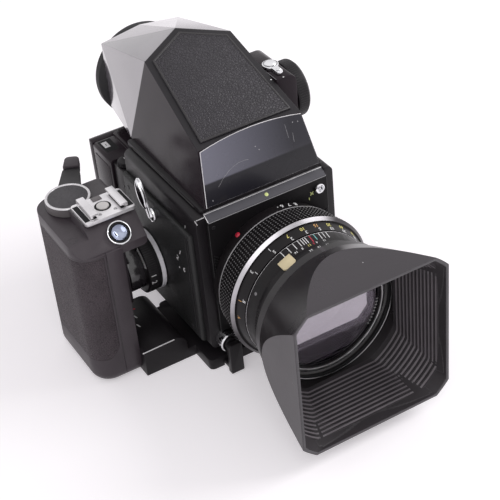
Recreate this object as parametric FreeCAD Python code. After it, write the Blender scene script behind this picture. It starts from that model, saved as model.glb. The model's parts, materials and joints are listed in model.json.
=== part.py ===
import FreeCAD, Part
import math
import os
from FreeCAD import Vector

# Medium format film camera with a grip, a metered prism finder, a lens with a hood and a roll film back.
# Millimetres. X runs to the right seen from the front, -Y is the way the lens looks, +Z is up.
# The origin is the mouth of the tripod socket in the underside of the base plate.

# Clearances
move_gap = 0.3
shaft_gap = 0.05
skin_gap = 0.05
fit_gap = 0.1
rest_gap = 0.5
past = 1.0
near = 0.1

# Base plate and its wing to the grip
plate_thick = 6.5
plate_overhang = 0.5
plate_right_inset = 4.0
plate_front = -30.5
plate_rear = 33.0
plate_corner = 3.0
wing_front = -13.0
wing_height = 17.0
wing_overhang = 5.0
wing_round = 7.0
bush_radius = 9.0
socket_radius = 3.175
socket_depth = 5.5
clamp_y = 20.0
clamp_head_radius = 7.0
clamp_head_height = 3.0
clamp_shank_radius = 3.1
clamp_lift = 0.5
clamp_slot_half = 0.8
clamp_slot_depth = 1.2
pad_inset = 14.0
pad_front = -16.0
pad_rear = 31.0
pad_height = 5.0
pad_corner = 4.0

# Body casing
casing_half = 42.0
casing_front = -27.2
casing_rear = 56.0
casing_top = 99.5
casing_wall = 3.0
casing_front_wall = 5.2
casing_round = 4.0
cover_thick = 3.0
cover_front = -22.0
cover_bottom = 15.0
cover_top = 86.0
cover_round = 2.0
panel_inset = 5.5
panel_front = -30.0
panel_bottom_rise = 3.0
bar_height = 3.3
bar_depth = 5.1
gate_half = 28.0
panel_corner = 2.0
button_hole_floor = 1.5
lens_z = 53.9

# Mirror box, mirror and focusing screen
mirror_box_inset = 9.0
box_wall = 2.0
box_top_drop = 7.5
mirror_pivot_y = 46.0
mirror_pivot_drop = 15.0
mirror_length = 60.0
mirror_inset = 5.0
mirror_thick = 2.0
holder_thick = 1.2
mirror_angle = 45.0
mirror_pin_radius = 1.2
mirror_edge = 1.0
mirror_hinge_edge = 2.0
mirror_box_step = 2.0
screen_thick = 1.6
screen_window_half = 29.0
screen_window_front = -16.0
screen_window_rear = 42.0

# Front of the body
mount_ring_inset = 0.5
mount_ring_wall = 5.5
mount_ring_thick = 1.2
shutter_inset = 2.7
shutter_z = 17.5
shutter_front = -34.5
shutter_collar_radius = 5.8
shutter_sleeve_radius = 4.5
shutter_button_radius = 3.7
shutter_button_rise = 1.2
shutter_travel = 1.5
unlock_inset = 6.0
unlock_z = 21.5
unlock_radius = 3.6
unlock_collar_radius = 5.0
unlock_collar_height = 1.5
unlock_rise = 3.4
unlock_travel = 1.5
sync_inset = 5.5
sync_z = 90.6
sync_radius = 2.9
sync_height = 1.6
sync_wall = 0.9
sync_floor = 0.3
sync_pin_radius = 0.7

# Sides of the body
winder_y = 30.0
winder_z = 42.5
wind_disc_radius = 17.8
wind_disc_thick = 11.0
wind_disc_bevel = 1.0
wind_shaft_radius = 4.0
drum_radius = 14.0
drum_gap = 0.7
drum_shaft_radius = 5.0
drum_shaft_length = 5.0
stud_y = 16.0
stud_z = 81.0
stud_radius = 4.5
stud_height = 3.0
stud_head = 1.2
clip_thick = 1.4
clip_low_radius = 2.2
clip_top_radius = 3.4
clip_top_y = 23.3
clip_top_z = 97.6
speed_dial_y = 10.0
speed_dial_z = 50.0
speed_dial_radius = 15.0
speed_dial_thick = 7.0
speed_dial_taper = 1.0
speed_shaft_radius = 4.0

# Grip
grip_gap = 31.5
grip_width = 26.0
grip_front = -8.0
grip_rear = 50.0
grip_top = 86.0
grip_round = 11.5
grip_foot_round = 7.0
grip_wall = 3.0
grip_floor = 4.0
strip_width = 9.5
strip_reach = 30.0
skin_thick = 1.1
skin_low = 17.0
skin_top_inset = 1.5
skin_inset = 11.0
skin_corner = 10.0
cap_low_rise = 6.3
cap_high_rise = 12.5
cap_step_inset = 14.0
cap_overhang = 15.5
cap_slope_run = 12.0
cap_slope_rise = 11.0
cap_skirt_drop = 5.0
cap_skirt_rear = 14.0
cap_corner = 3.0
cap_setback = 2.0
case_width = 10.5
case_low = 27.0
lever_inset = 9.0
lever_y = 36.3
lever_radius = 12.5
lever_thick = 4.7
lever_shaft_radius = 4.0
lever_reach = 40.0
lever_angle = 62.0
lever_root = 13.0
lever_end = 8.0
lever_tip_length = 10.0
lever_tip_extra = 1.2
lever_arm_step = 1.0
lever_arm_bite = 3.0
lever_end_share = 0.35
lever_shaft_lift = 1.2

# Accessory shoe
shoe_offset = 1.0
shoe_front = 2.5
shoe_rear = 23.0
shoe_half = 14.5
shoe_plate = 2.0
shoe_slot_half = 9.35
shoe_lip_half = 6.4
shoe_slot_height = 2.1
shoe_lip_thick = 1.0
shoe_rail_half = 10.7
contact_radius = 3.4
contact_height = 0.5
contact_well = 0.8
shoe_corner = 2.0
shoe_rail_front = 1.5
shoe_rail_rear = 0.5

# Release button of the grip and its link to the body
release_offset = 1.9
release_along = 0.40
release_ring_radius = 6.6
release_button_radius = 4.6
release_ring_height = 2.0
release_rise = 3.0
release_depth = 5.0
release_travel = 2.0
release_round = 1.2
link_overhang = 4.0
link_width = 8.0
link_front = -40.2
link_thick = 3.8
link_top = 20.0
link_bottom = 0.5
link_foot_height = 3.2
link_foot_rear = -18.0
link_foot_inset = 1.2
link_round = 1.5

# Finder
flange_inset = 4.5
flange_front = -25.0
flange_rear = 60.0
flange_thick = 2.7
finder_base_half = 35.3
finder_base_front = -26.0
finder_base_rear = 61.0
finder_brow_half = 31.0
finder_brow_y = -16.8
finder_brow_rise = 29.6
finder_roof_half = 26.4
finder_roof_y = 44.4
finder_roof_rise = 53.0
finder_apex_y = 58.1
finder_tail_half = 25.0
finder_tail_y = 106.0
finder_tail_rise = 36.8
finder_ridge_rise = 40.3
finder_tail_drop = 5.2
finder_wall = 2.6
finder_roof_wall_share = 1.1
finder_front_wall_share = 1.2
finder_base_step = 1.2
finder_flange_corner = 2.0
prism_gap = 0.6
prism_setback = 14.0
leather_inset = 3.6
leather_thick = 0.9
front_plate_inset = 0.8
front_plate_thick = 1.0
front_plate_arch = 2.5
eye_rise = 10.8
eye_bore = 12.5
eye_ring_radius = 15.3
eye_ring_length = 3.0
eyecup_radius = 29.0
eyecup_length = 9.5
eyecup_drop = 1.9
eyecup_foot_lift = 0.3
eyecup_roof_gap = 1.5
eyecup_root_share = 0.86
eyecup_swell_share = 0.35
eyecup_rim_share = 0.8
eyecup_rim_width = 2.0
eyecup_dish_share = 0.7
eyecup_floor_share = 0.5
eye_glass_thick = 2.0
eye_bore_depth = 5.0
tunnel_half = 14.0
tunnel_front = 12.0
tunnel_rear_wall = 3.0
meter_case_left = 26.0
meter_case_right = 42.0
meter_case_front = 3.5
meter_case_rear = 38.5
meter_case_low_rise = 5.8
meter_case_high_rise = 39.8
meter_case_round = 5.0
meter_notch = 29.6
meter_case_low_round = 2.0
meter_y = 19.1
meter_rise = 21.3
meter_dial_radius = 16.1
meter_dial_thick = 8.0
meter_dial_bevel = 1.5
meter_shaft_radius = 3.0
meter_shaft_length = 4.0
switch_x = 34.0
switch_y = 17.0
switch_radius = 4.6
switch_thick = 2.0
switch_arm = 11.0
switch_arm_width = 4.0
switch_end_flat = 0.2

# Lens
flange_rim = 4.8
lens_flange_thick = 7.6
bayonet_gap = 0.5
bayonet_depth = 5.0
bayonet_wall = 2.0
bayonet_seat = 3.0
helicoid_wall = 2.0
helicoid_front = -60.0
focus_rear_wall = 6.6
focus_front_wall = 9.5
focus_grip_length = 18.8
focus_bevel = 1.8
focus_bevel_drop = 1.6
focus_scale_wall = 7.0
focus_scale_end_wall = 5.2
focus_length = 24.4
barrel_radius = 30.9
barrel_wall = 1.9
depth_ring_gap = 0.8
depth_ring_length = 7.7
depth_ring_wall = 7.1
depth_ring_fall = 1.4
nose_wall = 3.1
aperture_length = 5.5
aperture_wall = 3.4
front_rim_wall = 5.3
front_rim_length = 1.2
barrel_rear = -42.0
barrel_rear_wall = 2.0
filter_step = 3.9
filter_wall = 1.8
filter_length = 4.9
filter_glass_thick = 1.6
filter_lip = 2.0
filter_lip_thick = 1.2
cell_setback = 0.5
cell_rear_radius = 21.0
cell_length = 9.0
cell_wall = 1.4
cell_lip = 1.5
cell_bite = 0.5
front_glass_bulge = 4.0
front_glass_steps = 8
rear_glass_radius = 14.0
rear_glass_thick = 4.0
rear_glass_steps = 6
iris_y = -57.0
iris_hole = 9.0
iris_thick = 0.8
iris_blades = 5
tab_angle = -25.0
tab_width = 8.0
tab_length = 8.5
tab_thick = 1.4
tab_lift = 0.4
tab_setback = 6.5
tab_chamfer = 2.5
tab_post_length = 2.5
tab_post_gap = 0.2

# Hood
collar_wall = 6.2
collar_length = 6.0
hood_root_step = 1.5
hood_mouth_radius = 58.8
hood_length = 40.2
hood_half_width = 45.0
hood_half_height = 45.5
hood_wall = 1.8
hood_lip = 2.5
hood_mouth_extra = 0.4
hood_root_extra = 1.5

# Roll film back
back_bottom = 13.5
back_top = 85.8
frame_inset = 1.5
frame_depth = 14.0
shell_depth = 24.0
door_depth = 10.2
door_round = 7.0
back_wall = 2.5
back_round = 2.0
slide_slot = 1.4
slide_plate = 1.0
slide_offset = 2.5
slide_overlap = 3.0
slide_handle_width = 7.0
slide_handle_thick = 4.0
slide_low = 23.0
slide_high = 83.0
slide_play = 0.4
slide_handle_bite = 2.0
slide_handle_gap = 0.5
slide_handle_round = 1.2
back_cover_inset = 13.5
back_cover_height = 2.4
back_cover_round = 1.5
back_cover_setback = 1.0
film_dial_inset = 7.0
film_dial_y = 64.5
film_dial_radius = 5.0
film_dial_height = 2.6
film_dial_pin_radius = 1.5
film_dial_pin = 2.5
film_dial_taper = 0.5
insert_side_gap = 2.5
insert_wall = 2.0
insert_setback = 1.0
spool_radius = 4.5
spool_flange_radius = 9.5
spool_flange = 1.2
spool_half = 31.5
spool_y = 84.0
spool_low_z = 30.0
spool_high_z = 68.5
spool_pin_radius = 2.0
pressure_half = 28.5
pressure_thick = 1.5
door_rim = 3.0
door_pin_setback = 1.9
door_pin_drop = 0.9
door_knuckle_radius = 1.3
door_knuckle_near = 18.0
door_knuckle_far = 30.0

# Values that follow from the ones above
cover_half = casing_half + cover_thick
panel_half = casing_half - panel_inset
mount_ring_radius = panel_half - mount_ring_inset
mount_ring_bore = mount_ring_radius - mount_ring_wall
bayonet_radius = mount_ring_bore - bayonet_gap
box_half = casing_half - mirror_box_inset
mirror_half = box_half - mirror_inset
pad_half = casing_half - pad_inset
flange_half = casing_half - flange_inset
plate_left = -cover_half - plate_overhang
plate_right = casing_half - plate_right_inset
wing_end = -cover_half - wing_overhang
shutter_x = -panel_half + shutter_inset
link_left = shutter_x - link_overhang
unlock_x = panel_half - unlock_inset
sync_x = panel_half - sync_inset
grip_right = -cover_half - grip_gap
grip_left = grip_right - grip_width
skin_edge = grip_right - skin_inset
cap_step = grip_right - cap_step_inset
cap_right = grip_right + cap_overhang
case_right = grip_right + case_width
lever_x = grip_right - lever_inset
shoe_x = grip_right + shoe_offset
release_x = grip_right + release_offset
back_half = cover_half
back_cover_half = back_half - back_cover_inset
film_dial_x = -back_half + film_dial_inset
insert_half = spool_half + insert_side_gap + insert_wall
slide_reach = -gate_half - slide_overlap
door_pin_z = back_bottom - door_pin_drop
casing_bottom = plate_thick + pad_height
button_hole_end = casing_front + casing_front_wall - button_hole_floor
panel_bottom = casing_bottom + panel_bottom_rise
panel_top = casing_top - bar_height
flange_top = casing_top + flange_thick
helicoid_bore = barrel_radius + fit_gap
helicoid_radius = helicoid_bore + helicoid_wall
flange_radius = helicoid_radius + flange_rim
focus_rear_radius = helicoid_radius + focus_rear_wall
focus_front_radius = helicoid_radius + focus_front_wall
focus_scale_radius = helicoid_radius + focus_scale_wall
focus_scale_end_radius = helicoid_radius + focus_scale_end_wall
barrel_bore = barrel_radius - barrel_wall
depth_ring_radius = barrel_radius + depth_ring_wall
depth_ring_end_radius = depth_ring_radius - depth_ring_fall
nose_radius = barrel_radius + nose_wall
aperture_radius = nose_radius + aperture_wall
front_rim_radius = barrel_radius + front_rim_wall
filter_radius = barrel_radius + filter_step
filter_bore = filter_radius - filter_wall
collar_radius = filter_radius + collar_wall
hood_root_radius = collar_radius + hood_root_step
cap_low_top = grip_top + cap_low_rise
cap_high_top = grip_top + cap_high_rise
cap_skirt_low = grip_top - cap_skirt_drop
skin_high = grip_top - skin_top_inset
box_top = casing_top - box_top_drop
mirror_pivot_z = casing_top - mirror_pivot_drop
eye_z = flange_top + eye_rise
finder_tail_top = flange_top + finder_tail_rise
finder_tail_ridge = flange_top + finder_ridge_rise
finder_tail_low = flange_top - finder_tail_drop
meter_case_low = flange_top + meter_case_low_rise
meter_case_high = flange_top + meter_case_high_rise
meter_z = flange_top + meter_rise
lens_seat = panel_front - mount_ring_thick
lens_flange_front = lens_seat - lens_flange_thick
focus_rear = lens_flange_front - move_gap
focus_front = focus_rear - focus_length
depth_rear = focus_front - depth_ring_gap
depth_front = depth_rear - depth_ring_length
aperture_rear = depth_front - move_gap
aperture_front = aperture_rear - aperture_length
rim_rear = aperture_front - move_gap
rim_front = rim_rear - front_rim_length
filter_front = rim_front - filter_length
collar_rear = rim_front - move_gap
collar_front = collar_rear - collar_length
hood_front = collar_front - hood_length
frame_front = casing_rear + move_gap
frame_rear = frame_front + frame_depth
shell_rear = frame_rear + shell_depth
back_rear = shell_rear + move_gap + door_depth
eyecup_foot = back_top + eyecup_foot_lift
door_pin_y = shell_rear + door_pin_setback
disc_inner = -cover_half - move_gap
disc_outer = disc_inner - wind_disc_thick
drum_outer = case_right + drum_gap
release_z = grip_top + release_along * cap_slope_rise
cap_front = grip_front + cap_setback
release_y = cap_front + release_along * cap_slope_run
slope_length = math.hypot(cap_slope_run, cap_slope_rise)
release_axis = Vector(0, -cap_slope_rise / slope_length, cap_slope_run / slope_length)
lever_low = cap_low_top + move_gap
shoe_floor = cap_high_top + shoe_plate


# Shape helpers
def box(x0, x1, y0, y1, z0, z1):
    return Part.makeBox(x1 - x0, y1 - y0, z1 - z0, Vector(x0, y0, z0))


def rod(radius, start, end):
    a = Vector(*start)
    b = Vector(*end)
    return Part.makeCylinder(radius, (b - a).Length, a, b - a)


def turned(points, centre, axis):
    """A solid turned about an axis, from its outline given as (radius, place along the axis)."""
    outline = [Vector(r, 0, a) for r, a in points]
    face = Part.Face(Part.makePolygon(outline + outline[:1]))
    solid = face.revolve(Vector(0, 0, 0), Vector(0, 0, 1), 360)
    turn = FreeCAD.Rotation(Vector(0, 0, 1), Vector(*axis))
    solid.Placement = FreeCAD.Placement(Vector(*centre), turn)
    return solid


def lens_turned(points):
    """A solid about the lens axis, from its outline given as (radius, Y)."""
    return turned([(r, y) for r, y in points], (0, 0, lens_z), (0, 1, 0))


def lens_ring(outer, inner, front, rear):
    return lens_turned([(inner, front), (outer, front), (outer, rear), (inner, rear)])


def straight_edges(solid, axis, keep):
    """The straight edges along an axis whose middle the test keeps."""
    found = []
    for edge in solid.Edges:
        if edge.Curve.TypeId != "Part::GeomLine":
            continue
        a = edge.Vertexes[0].Point
        b = edge.Vertexes[-1].Point
        run = b - a
        if abs(run.dot(axis)) > 0.999 * run.Length and keep((a + b) * 0.5):
            found.append(edge)
    return found


def rounded(solid, radius, axis, keep=lambda p: True):
    return solid.makeFillet(radius, straight_edges(solid, axis, keep))


def polyhedron(faces):
    """A closed solid from flat faces given as lists of corners."""
    sheets = []
    for corners in faces:
        points = [Vector(*c) for c in corners]
        sheets.append(Part.Face(Part.makePolygon(points + points[:1])))
    shell = Part.makeShell(sheets)
    shell.sewShape()
    solid = Part.makeSolid(shell)
    if solid.Volume < 0:
        solid.reverse()
    return solid


def slab(corners, thickness, inset):
    """A flat plate standing on a flat face, drawn in from the face's edge and on the outer side."""
    points = [Vector(*c) for c in corners]
    wire = Part.makePolygon(points + points[:1])
    face = Part.Face(wire)
    normal = (points[1] - points[0]).cross(points[2] - points[1]).normalize()
    inner = Part.Face(wire.makeOffset2D(-inset))
    if inner.Area > face.Area:
        inner = Part.Face(wire.makeOffset2D(inset))
    return inner.extrude(normal * thickness)


AX = Vector(1, 0, 0)
AY = Vector(0, 1, 0)
AZ = Vector(0, 0, 1)


# Base plate
def base_plate():
    plate = box(plate_left, plate_right, plate_front, plate_rear, 0, plate_thick)
    plate = rounded(plate, plate_corner, AZ)
    wing = box(grip_right, wing_end, wing_front, plate_rear, 0, wing_height)
    wing = rounded(wing, wing_round, AY, lambda p: p.x > wing_end - near and p.z > plate_thick)
    bridge = box(wing_end - past, plate_left + plate_corner, wing_front, plate_rear - plate_corner, 0,
                 plate_thick)
    plate = plate.fuse(wing).fuse(bridge).removeSplitter()
    plate = plate.cut(rod(bush_radius, (0, 0, -past), (0, 0, plate_thick + past)))
    plate = plate.cut(rod(clamp_head_radius + move_gap, (0, clamp_y, -past),
                          (0, clamp_y, clamp_lift + clamp_head_height + move_gap)))
    plate = plate.cut(rod(clamp_shank_radius + shaft_gap, (0, clamp_y, 0),
                         (0, clamp_y, plate_thick + past)))
    slot_left = link_left + link_foot_inset - move_gap
    slot_right = link_left + link_width - link_foot_inset + move_gap
    slot_top = link_bottom + link_foot_height + move_gap
    slot_rear = link_foot_rear + shutter_travel + move_gap
    return plate.cut(box(slot_left, slot_right, plate_front - past, slot_rear, -past, slot_top))


def tripod_bush():
    bush = rod(bush_radius - skin_gap, (0, 0, 0), (0, 0, plate_thick))
    return bush.cut(rod(socket_radius, (0, 0, -past), (0, 0, socket_depth)))


def clamp_screw():
    low = clamp_lift
    head = rod(clamp_head_radius, (0, clamp_y, low), (0, clamp_y, low + clamp_head_height))
    slot = box(-clamp_head_radius, clamp_head_radius, clamp_y - clamp_slot_half,
               clamp_y + clamp_slot_half, low - past, low + clamp_slot_depth)
    shank = rod(clamp_shank_radius, (0, clamp_y, low + clamp_head_height),
                (0, clamp_y, casing_bottom - 2 * rest_gap))
    return head.cut(slot).fuse(shank)


def bottom_pad():
    pad = rounded(box(-pad_half, pad_half, pad_front, pad_rear, plate_thick, casing_bottom),
                  pad_corner, AZ)
    return pad.cut(rod(clamp_shank_radius + shaft_gap, (0, clamp_y, 0),
                       (0, clamp_y, casing_bottom - rest_gap)))


# Body
def casing():
    body = box(-casing_half, casing_half, casing_front, casing_rear, casing_bottom, casing_top)
    body = rounded(body, casing_round, AY)
    inside = box(-casing_half + casing_wall, casing_half - casing_wall, casing_front + casing_front_wall,
                 casing_rear - casing_wall, casing_bottom + casing_wall, casing_top - casing_wall)
    body = body.cut(inside)
    body = body.cut(rod(mount_ring_bore, (0, casing_front - past, lens_z),
                        (0, casing_front + casing_front_wall + past, lens_z)))
    body = body.cut(box(-gate_half, gate_half, casing_rear - casing_wall - past, casing_rear + past,
                        lens_z - gate_half, lens_z + gate_half))
    body = body.cut(box(-screen_window_half, screen_window_half, screen_window_front, screen_window_rear,
                        casing_top - casing_wall - past, casing_top + past))
    body = body.cut(box(-panel_half, panel_half, panel_front, panel_front + bar_depth, panel_top,
                        casing_top + past))
    sleeve = rod(shutter_sleeve_radius, (shutter_x, casing_front, shutter_z),
                 (shutter_x, shutter_front + rest_gap, shutter_z))
    body = body.fuse(sleeve)
    body = body.cut(rod(shutter_button_radius + shaft_gap, (shutter_x, shutter_front - past, shutter_z),
                        (shutter_x, button_hole_end, shutter_z)))
    body = body.cut(rod(wind_shaft_radius + shaft_gap, (-casing_half - past, winder_y, winder_z),
                        (-casing_half + casing_wall + past, winder_y, winder_z)))
    body = body.cut(rod(speed_shaft_radius + shaft_gap,
                        (casing_half - casing_wall - past, speed_dial_y, speed_dial_z),
                        (casing_half + past, speed_dial_y, speed_dial_z)))
    body = body.cut(rod(unlock_radius + shaft_gap, (unlock_x, casing_front - past, unlock_z),
                        (unlock_x, button_hole_end, unlock_z)))
    return body.fuse(bottom_pad())


def side_cover(side):
    inner = side * casing_half
    outer = side * cover_half
    cover = box(min(inner, outer), max(inner, outer), cover_front, casing_rear, cover_bottom, cover_top)
    on_outside = lambda p: abs(p.x - outer) < near
    edges = straight_edges(cover, AY, on_outside) + straight_edges(cover, AZ, on_outside)
    return cover.makeFillet(cover_round, edges)


def side_cover_right():
    return side_cover(-1).cut(rod(wind_shaft_radius + shaft_gap, (-cover_half - past, winder_y, winder_z),
                                  (-casing_half + past, winder_y, winder_z)))


def side_cover_left():
    return side_cover(1).cut(rod(speed_shaft_radius + shaft_gap,
                                 (casing_half - past, speed_dial_y, speed_dial_z),
                                 (cover_half + past, speed_dial_y, speed_dial_z)))


def front_panel():
    panel = box(-panel_half, panel_half, panel_front, casing_front, panel_bottom, panel_top)
    panel = rounded(panel, panel_corner, AY, lambda p: p.z < lens_z)
    panel = panel.cut(rod(mount_ring_bore, (0, panel_front - past, lens_z),
                          (0, casing_front + past, lens_z)))
    panel = panel.cut(rod(shutter_collar_radius + move_gap, (shutter_x, panel_front - past, shutter_z),
                          (shutter_x, casing_front + past, shutter_z)))
    panel = panel.fuse(name_bar()).fuse(unlock_collar())
    return panel.cut(rod(unlock_radius + shaft_gap, (unlock_x, panel_front - unlock_rise, unlock_z),
                         (unlock_x, casing_front + past, unlock_z)))


def name_bar():
    corners = [(panel_front, panel_top), (panel_front + bar_depth, panel_top),
               (panel_front + bar_depth, casing_top)]
    outline = [Vector(-panel_half, y, z) for y, z in corners]
    face = Part.Face(Part.makePolygon(outline + outline[:1]))
    return face.extrude(Vector(2 * panel_half, 0, 0))


def lens_mount_ring():
    return lens_ring(mount_ring_radius, mount_ring_bore, lens_seat, panel_front)


def shutter_collar():
    collar = rod(shutter_collar_radius, (shutter_x, shutter_front, shutter_z),
                 (shutter_x, casing_front - move_gap, shutter_z))
    collar = collar.cut(rod(shutter_sleeve_radius + shaft_gap,
                            (shutter_x, shutter_front - past, shutter_z),
                            (shutter_x, casing_front + past, shutter_z)))
    return collar


def shutter_button():
    return rod(shutter_button_radius, (shutter_x, shutter_front - shutter_button_rise, shutter_z),
               (shutter_x, button_hole_end - shutter_travel - move_gap, shutter_z))


def unlock_collar():
    return rod(unlock_collar_radius, (unlock_x, panel_front - unlock_collar_height, unlock_z),
               (unlock_x, panel_front, unlock_z))


def lens_release():
    return rod(unlock_radius, (unlock_x, panel_front - unlock_rise, unlock_z),
               (unlock_x, button_hole_end - unlock_travel - move_gap, unlock_z))


def sync_socket():
    front = panel_front - sync_height
    socket = rod(sync_radius, (sync_x, front, sync_z), (sync_x, panel_front, sync_z))
    socket = socket.cut(rod(sync_radius - sync_wall, (sync_x, front - past, sync_z),
                            (sync_x, panel_front - sync_floor, sync_z)))
    return socket.fuse(rod(sync_pin_radius, (sync_x, front + sync_floor, sync_z),
                           (sync_x, panel_front, sync_z)))


def mirror_box():
    front = casing_front + casing_front_wall
    rear = casing_rear - casing_wall
    low = casing_bottom + casing_wall
    case = box(-box_half, box_half, front, rear, low, box_top)
    inner = box_half - box_wall
    case = case.cut(box(-inner, inner, front + box_wall, rear - box_wall, low + box_wall,
                        box_top + past))
    case = case.cut(rod(mount_ring_bore - mirror_box_step, (0, front - past, lens_z),
                        (0, front + box_wall + past, lens_z)))
    case = case.cut(box(-gate_half, gate_half, rear - box_wall - past, rear + past,
                        lens_z - gate_half, lens_z + gate_half))
    return case.cut(rod(mirror_pin_radius + shaft_gap, (-box_half - past, mirror_pivot_y, mirror_pivot_z),
                        (box_half + past, mirror_pivot_y, mirror_pivot_z)))


def on_mirror_plane(solid):
    """Turns a piece that was built lying flat to the angle of the mirror, about the mirror's pin."""
    solid.rotate(Vector(0, mirror_pivot_y, mirror_pivot_z), AX, mirror_angle)
    return solid


def mirror_holder():
    low = mirror_pivot_z - mirror_pin_radius
    plate = box(-mirror_half, mirror_half, mirror_pivot_y - mirror_length, mirror_pivot_y, low,
                low + holder_thick)
    pin = rod(mirror_pin_radius, (-box_half + rest_gap, mirror_pivot_y, mirror_pivot_z),
              (box_half - rest_gap, mirror_pivot_y, mirror_pivot_z))
    return on_mirror_plane(plate.fuse(pin))


def reflex_mirror():
    low = mirror_pivot_z - mirror_pin_radius + holder_thick
    return on_mirror_plane(box(-mirror_half + mirror_edge, mirror_half - mirror_edge,
                               mirror_pivot_y - mirror_length + mirror_edge,
                               mirror_pivot_y - mirror_hinge_edge, low, low + mirror_thick))


def focusing_screen():
    front = casing_front + casing_front_wall + rest_gap
    rear = casing_rear - casing_wall - rest_gap
    return box(-box_half + rest_gap, box_half - rest_gap, front, rear, box_top, box_top + screen_thick)


# Winding gear and fittings on the sides
def wind_disc():
    disc = turned([(0, disc_outer), (wind_disc_radius - wind_disc_bevel, disc_outer),
                   (wind_disc_radius, disc_outer + wind_disc_bevel),
                   (wind_disc_radius, disc_inner), (0, disc_inner)], (0, winder_y, winder_z), (1, 0, 0))
    shaft = rod(wind_shaft_radius, (disc_inner - past, winder_y, winder_z),
                (-casing_half + casing_wall, winder_y, winder_z))
    return disc.fuse(shaft)


def coupling_drum():
    drum = rod(drum_radius, (drum_outer, winder_y, winder_z), (disc_outer, winder_y, winder_z))
    shaft = rod(drum_shaft_radius, (drum_outer - drum_shaft_length, winder_y, winder_z),
                (drum_outer + past, winder_y, winder_z))
    return drum.fuse(shaft)


def strap_studs():
    studs = []
    for side in (-1, 1):
        face = side * cover_half
        neck = rod(stud_radius - stud_head, (face, stud_y, stud_z),
                   (face + side * stud_height, stud_y, stud_z))
        head = rod(stud_radius, (face + side * (stud_height - stud_head), stud_y, stud_z),
                   (face + side * stud_height, stud_y, stud_z))
        studs.append(neck.fuse(head))
    studs[0] = studs[0].fuse(strap_clip())
    return Part.makeCompound(studs)


def strap_clip():
    """A flat tapered link with round ends that hangs on the stud."""
    face = -cover_half - stud_height
    run = Vector(0, clip_top_y - stud_y, clip_top_z - stud_z).normalize()
    aside = Vector(0, -run.z, run.y)
    low = Vector(face, stud_y, stud_z)
    top = Vector(face, clip_top_y, clip_top_z)
    points = [low + aside * clip_low_radius, top + aside * clip_top_radius, top - aside * clip_top_radius,
              low - aside * clip_low_radius]
    link = Part.Face(Part.makePolygon(points + points[:1])).extrude(Vector(-clip_thick, 0, 0))
    link = link.fuse(rod(clip_low_radius, (face, stud_y, stud_z), (face - clip_thick, stud_y, stud_z)))
    return link.fuse(rod(clip_top_radius, (face, clip_top_y, clip_top_z),
                         (face - clip_thick, clip_top_y, clip_top_z)))


def speed_dial():
    face = cover_half + move_gap
    dial = turned([(0, face), (speed_dial_radius, face),
                   (speed_dial_radius - speed_dial_taper, face + speed_dial_thick),
                   (0, face + speed_dial_thick)], (0, speed_dial_y, speed_dial_z), (1, 0, 0))
    shaft = rod(speed_shaft_radius, (casing_half - casing_wall, speed_dial_y, speed_dial_z),
                (face + past, speed_dial_y, speed_dial_z))
    return dial.fuse(shaft)


# Grip
def grip_block(inset, low, high):
    block = box(grip_left + inset, grip_right - inset, grip_front + inset, grip_rear - inset, low, high)
    return rounded(block, grip_round - inset, AZ, lambda p: p.x < (grip_left + grip_right) / 2)


def strip_zone(shrink):
    return box(grip_right - strip_width + shrink, grip_right + past,
               grip_front - past, grip_front + strip_reach - shrink, -past, grip_top + past)


def grip_outer():
    outer = grip_block(0, 0, grip_top)
    return outer.makeFillet(grip_foot_round, [e for e in outer.Edges if e.BoundBox.ZMax < near
                                              and e.BoundBox.XMin < grip_right - near])


def grip_shell():
    inner = grip_block(grip_wall, grip_floor, grip_top + past)
    return grip_outer().cut(inner).cut(strip_zone(0)).cut(skin_zone(skin_thick + skin_gap))


def grip_strip():
    wall = box(grip_right - strip_width + fit_gap, grip_right, grip_front,
               grip_front + strip_reach - fit_gap, 0, grip_top)
    wall = wall.common(grip_outer())
    room = box(grip_right - strip_width - past, grip_right - grip_wall, grip_front + grip_wall,
               grip_front + strip_reach + past, grip_floor, grip_top + past)
    return wall.cut(room).cut(release_hole())


def skin_zone(depth):
    """The outer layer of the grip that the leather covers, down to a depth."""
    field = box(grip_left - past, skin_edge, grip_front - past, grip_rear + past, skin_low, skin_high)
    field = rounded(field, skin_corner, AY, lambda p: p.z < skin_low + near and p.x > skin_edge - near)
    layer = grip_block(0, 0, grip_top).cut(grip_block(depth, -past, grip_top + past))
    return layer.common(field)


def grip_skin():
    return skin_zone(skin_thick)


def cap_side(left, right, top):
    """The profile of the cap seen from the side, drawn out along X."""
    run = (top - grip_top) * cap_slope_run / cap_slope_rise
    points = [(cap_front, grip_top), (cap_front + run, top), (grip_rear, top), (grip_rear, grip_top)]
    outline = [Vector(left, y, z) for y, z in points]
    face = Part.Face(Part.makePolygon(outline + outline[:1]))
    return face.extrude(Vector(right - left, 0, 0))


def release_hole():
    centre = Vector(release_x, release_y, release_z)
    return Part.makeCylinder(release_button_radius + shaft_gap, release_depth + past,
                             centre + release_axis * past,
                             -release_axis)


def grip_cap():
    low = cap_side(grip_left, cap_step, cap_low_top)
    low = low.common(grip_block(0, grip_top, cap_low_top))
    high = cap_side(cap_step, cap_right, cap_high_top)
    high = high.cut(box(cap_step - past, cap_right + past, shoe_rear + rest_gap, grip_rear + past,
                        cap_low_top, cap_high_top + past))
    high = rounded(high, cap_corner, AZ, lambda p: p.x > cap_right - near and p.y > shoe_rear)
    skirt = box(grip_right, cap_right, cap_front, cap_skirt_rear, cap_skirt_low, grip_top)
    skirt = rounded(skirt, cap_corner, AY, lambda p: p.x > cap_right - near and p.z < cap_skirt_low + near)
    cap = low.fuse(high).fuse(skirt).removeSplitter()
    cap = cap.cut(rod(lever_shaft_radius + shaft_gap, (lever_x, lever_y, grip_top + past),
                      (lever_x, lever_y, cap_low_top + past)))
    return cap.cut(release_hole())


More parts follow.
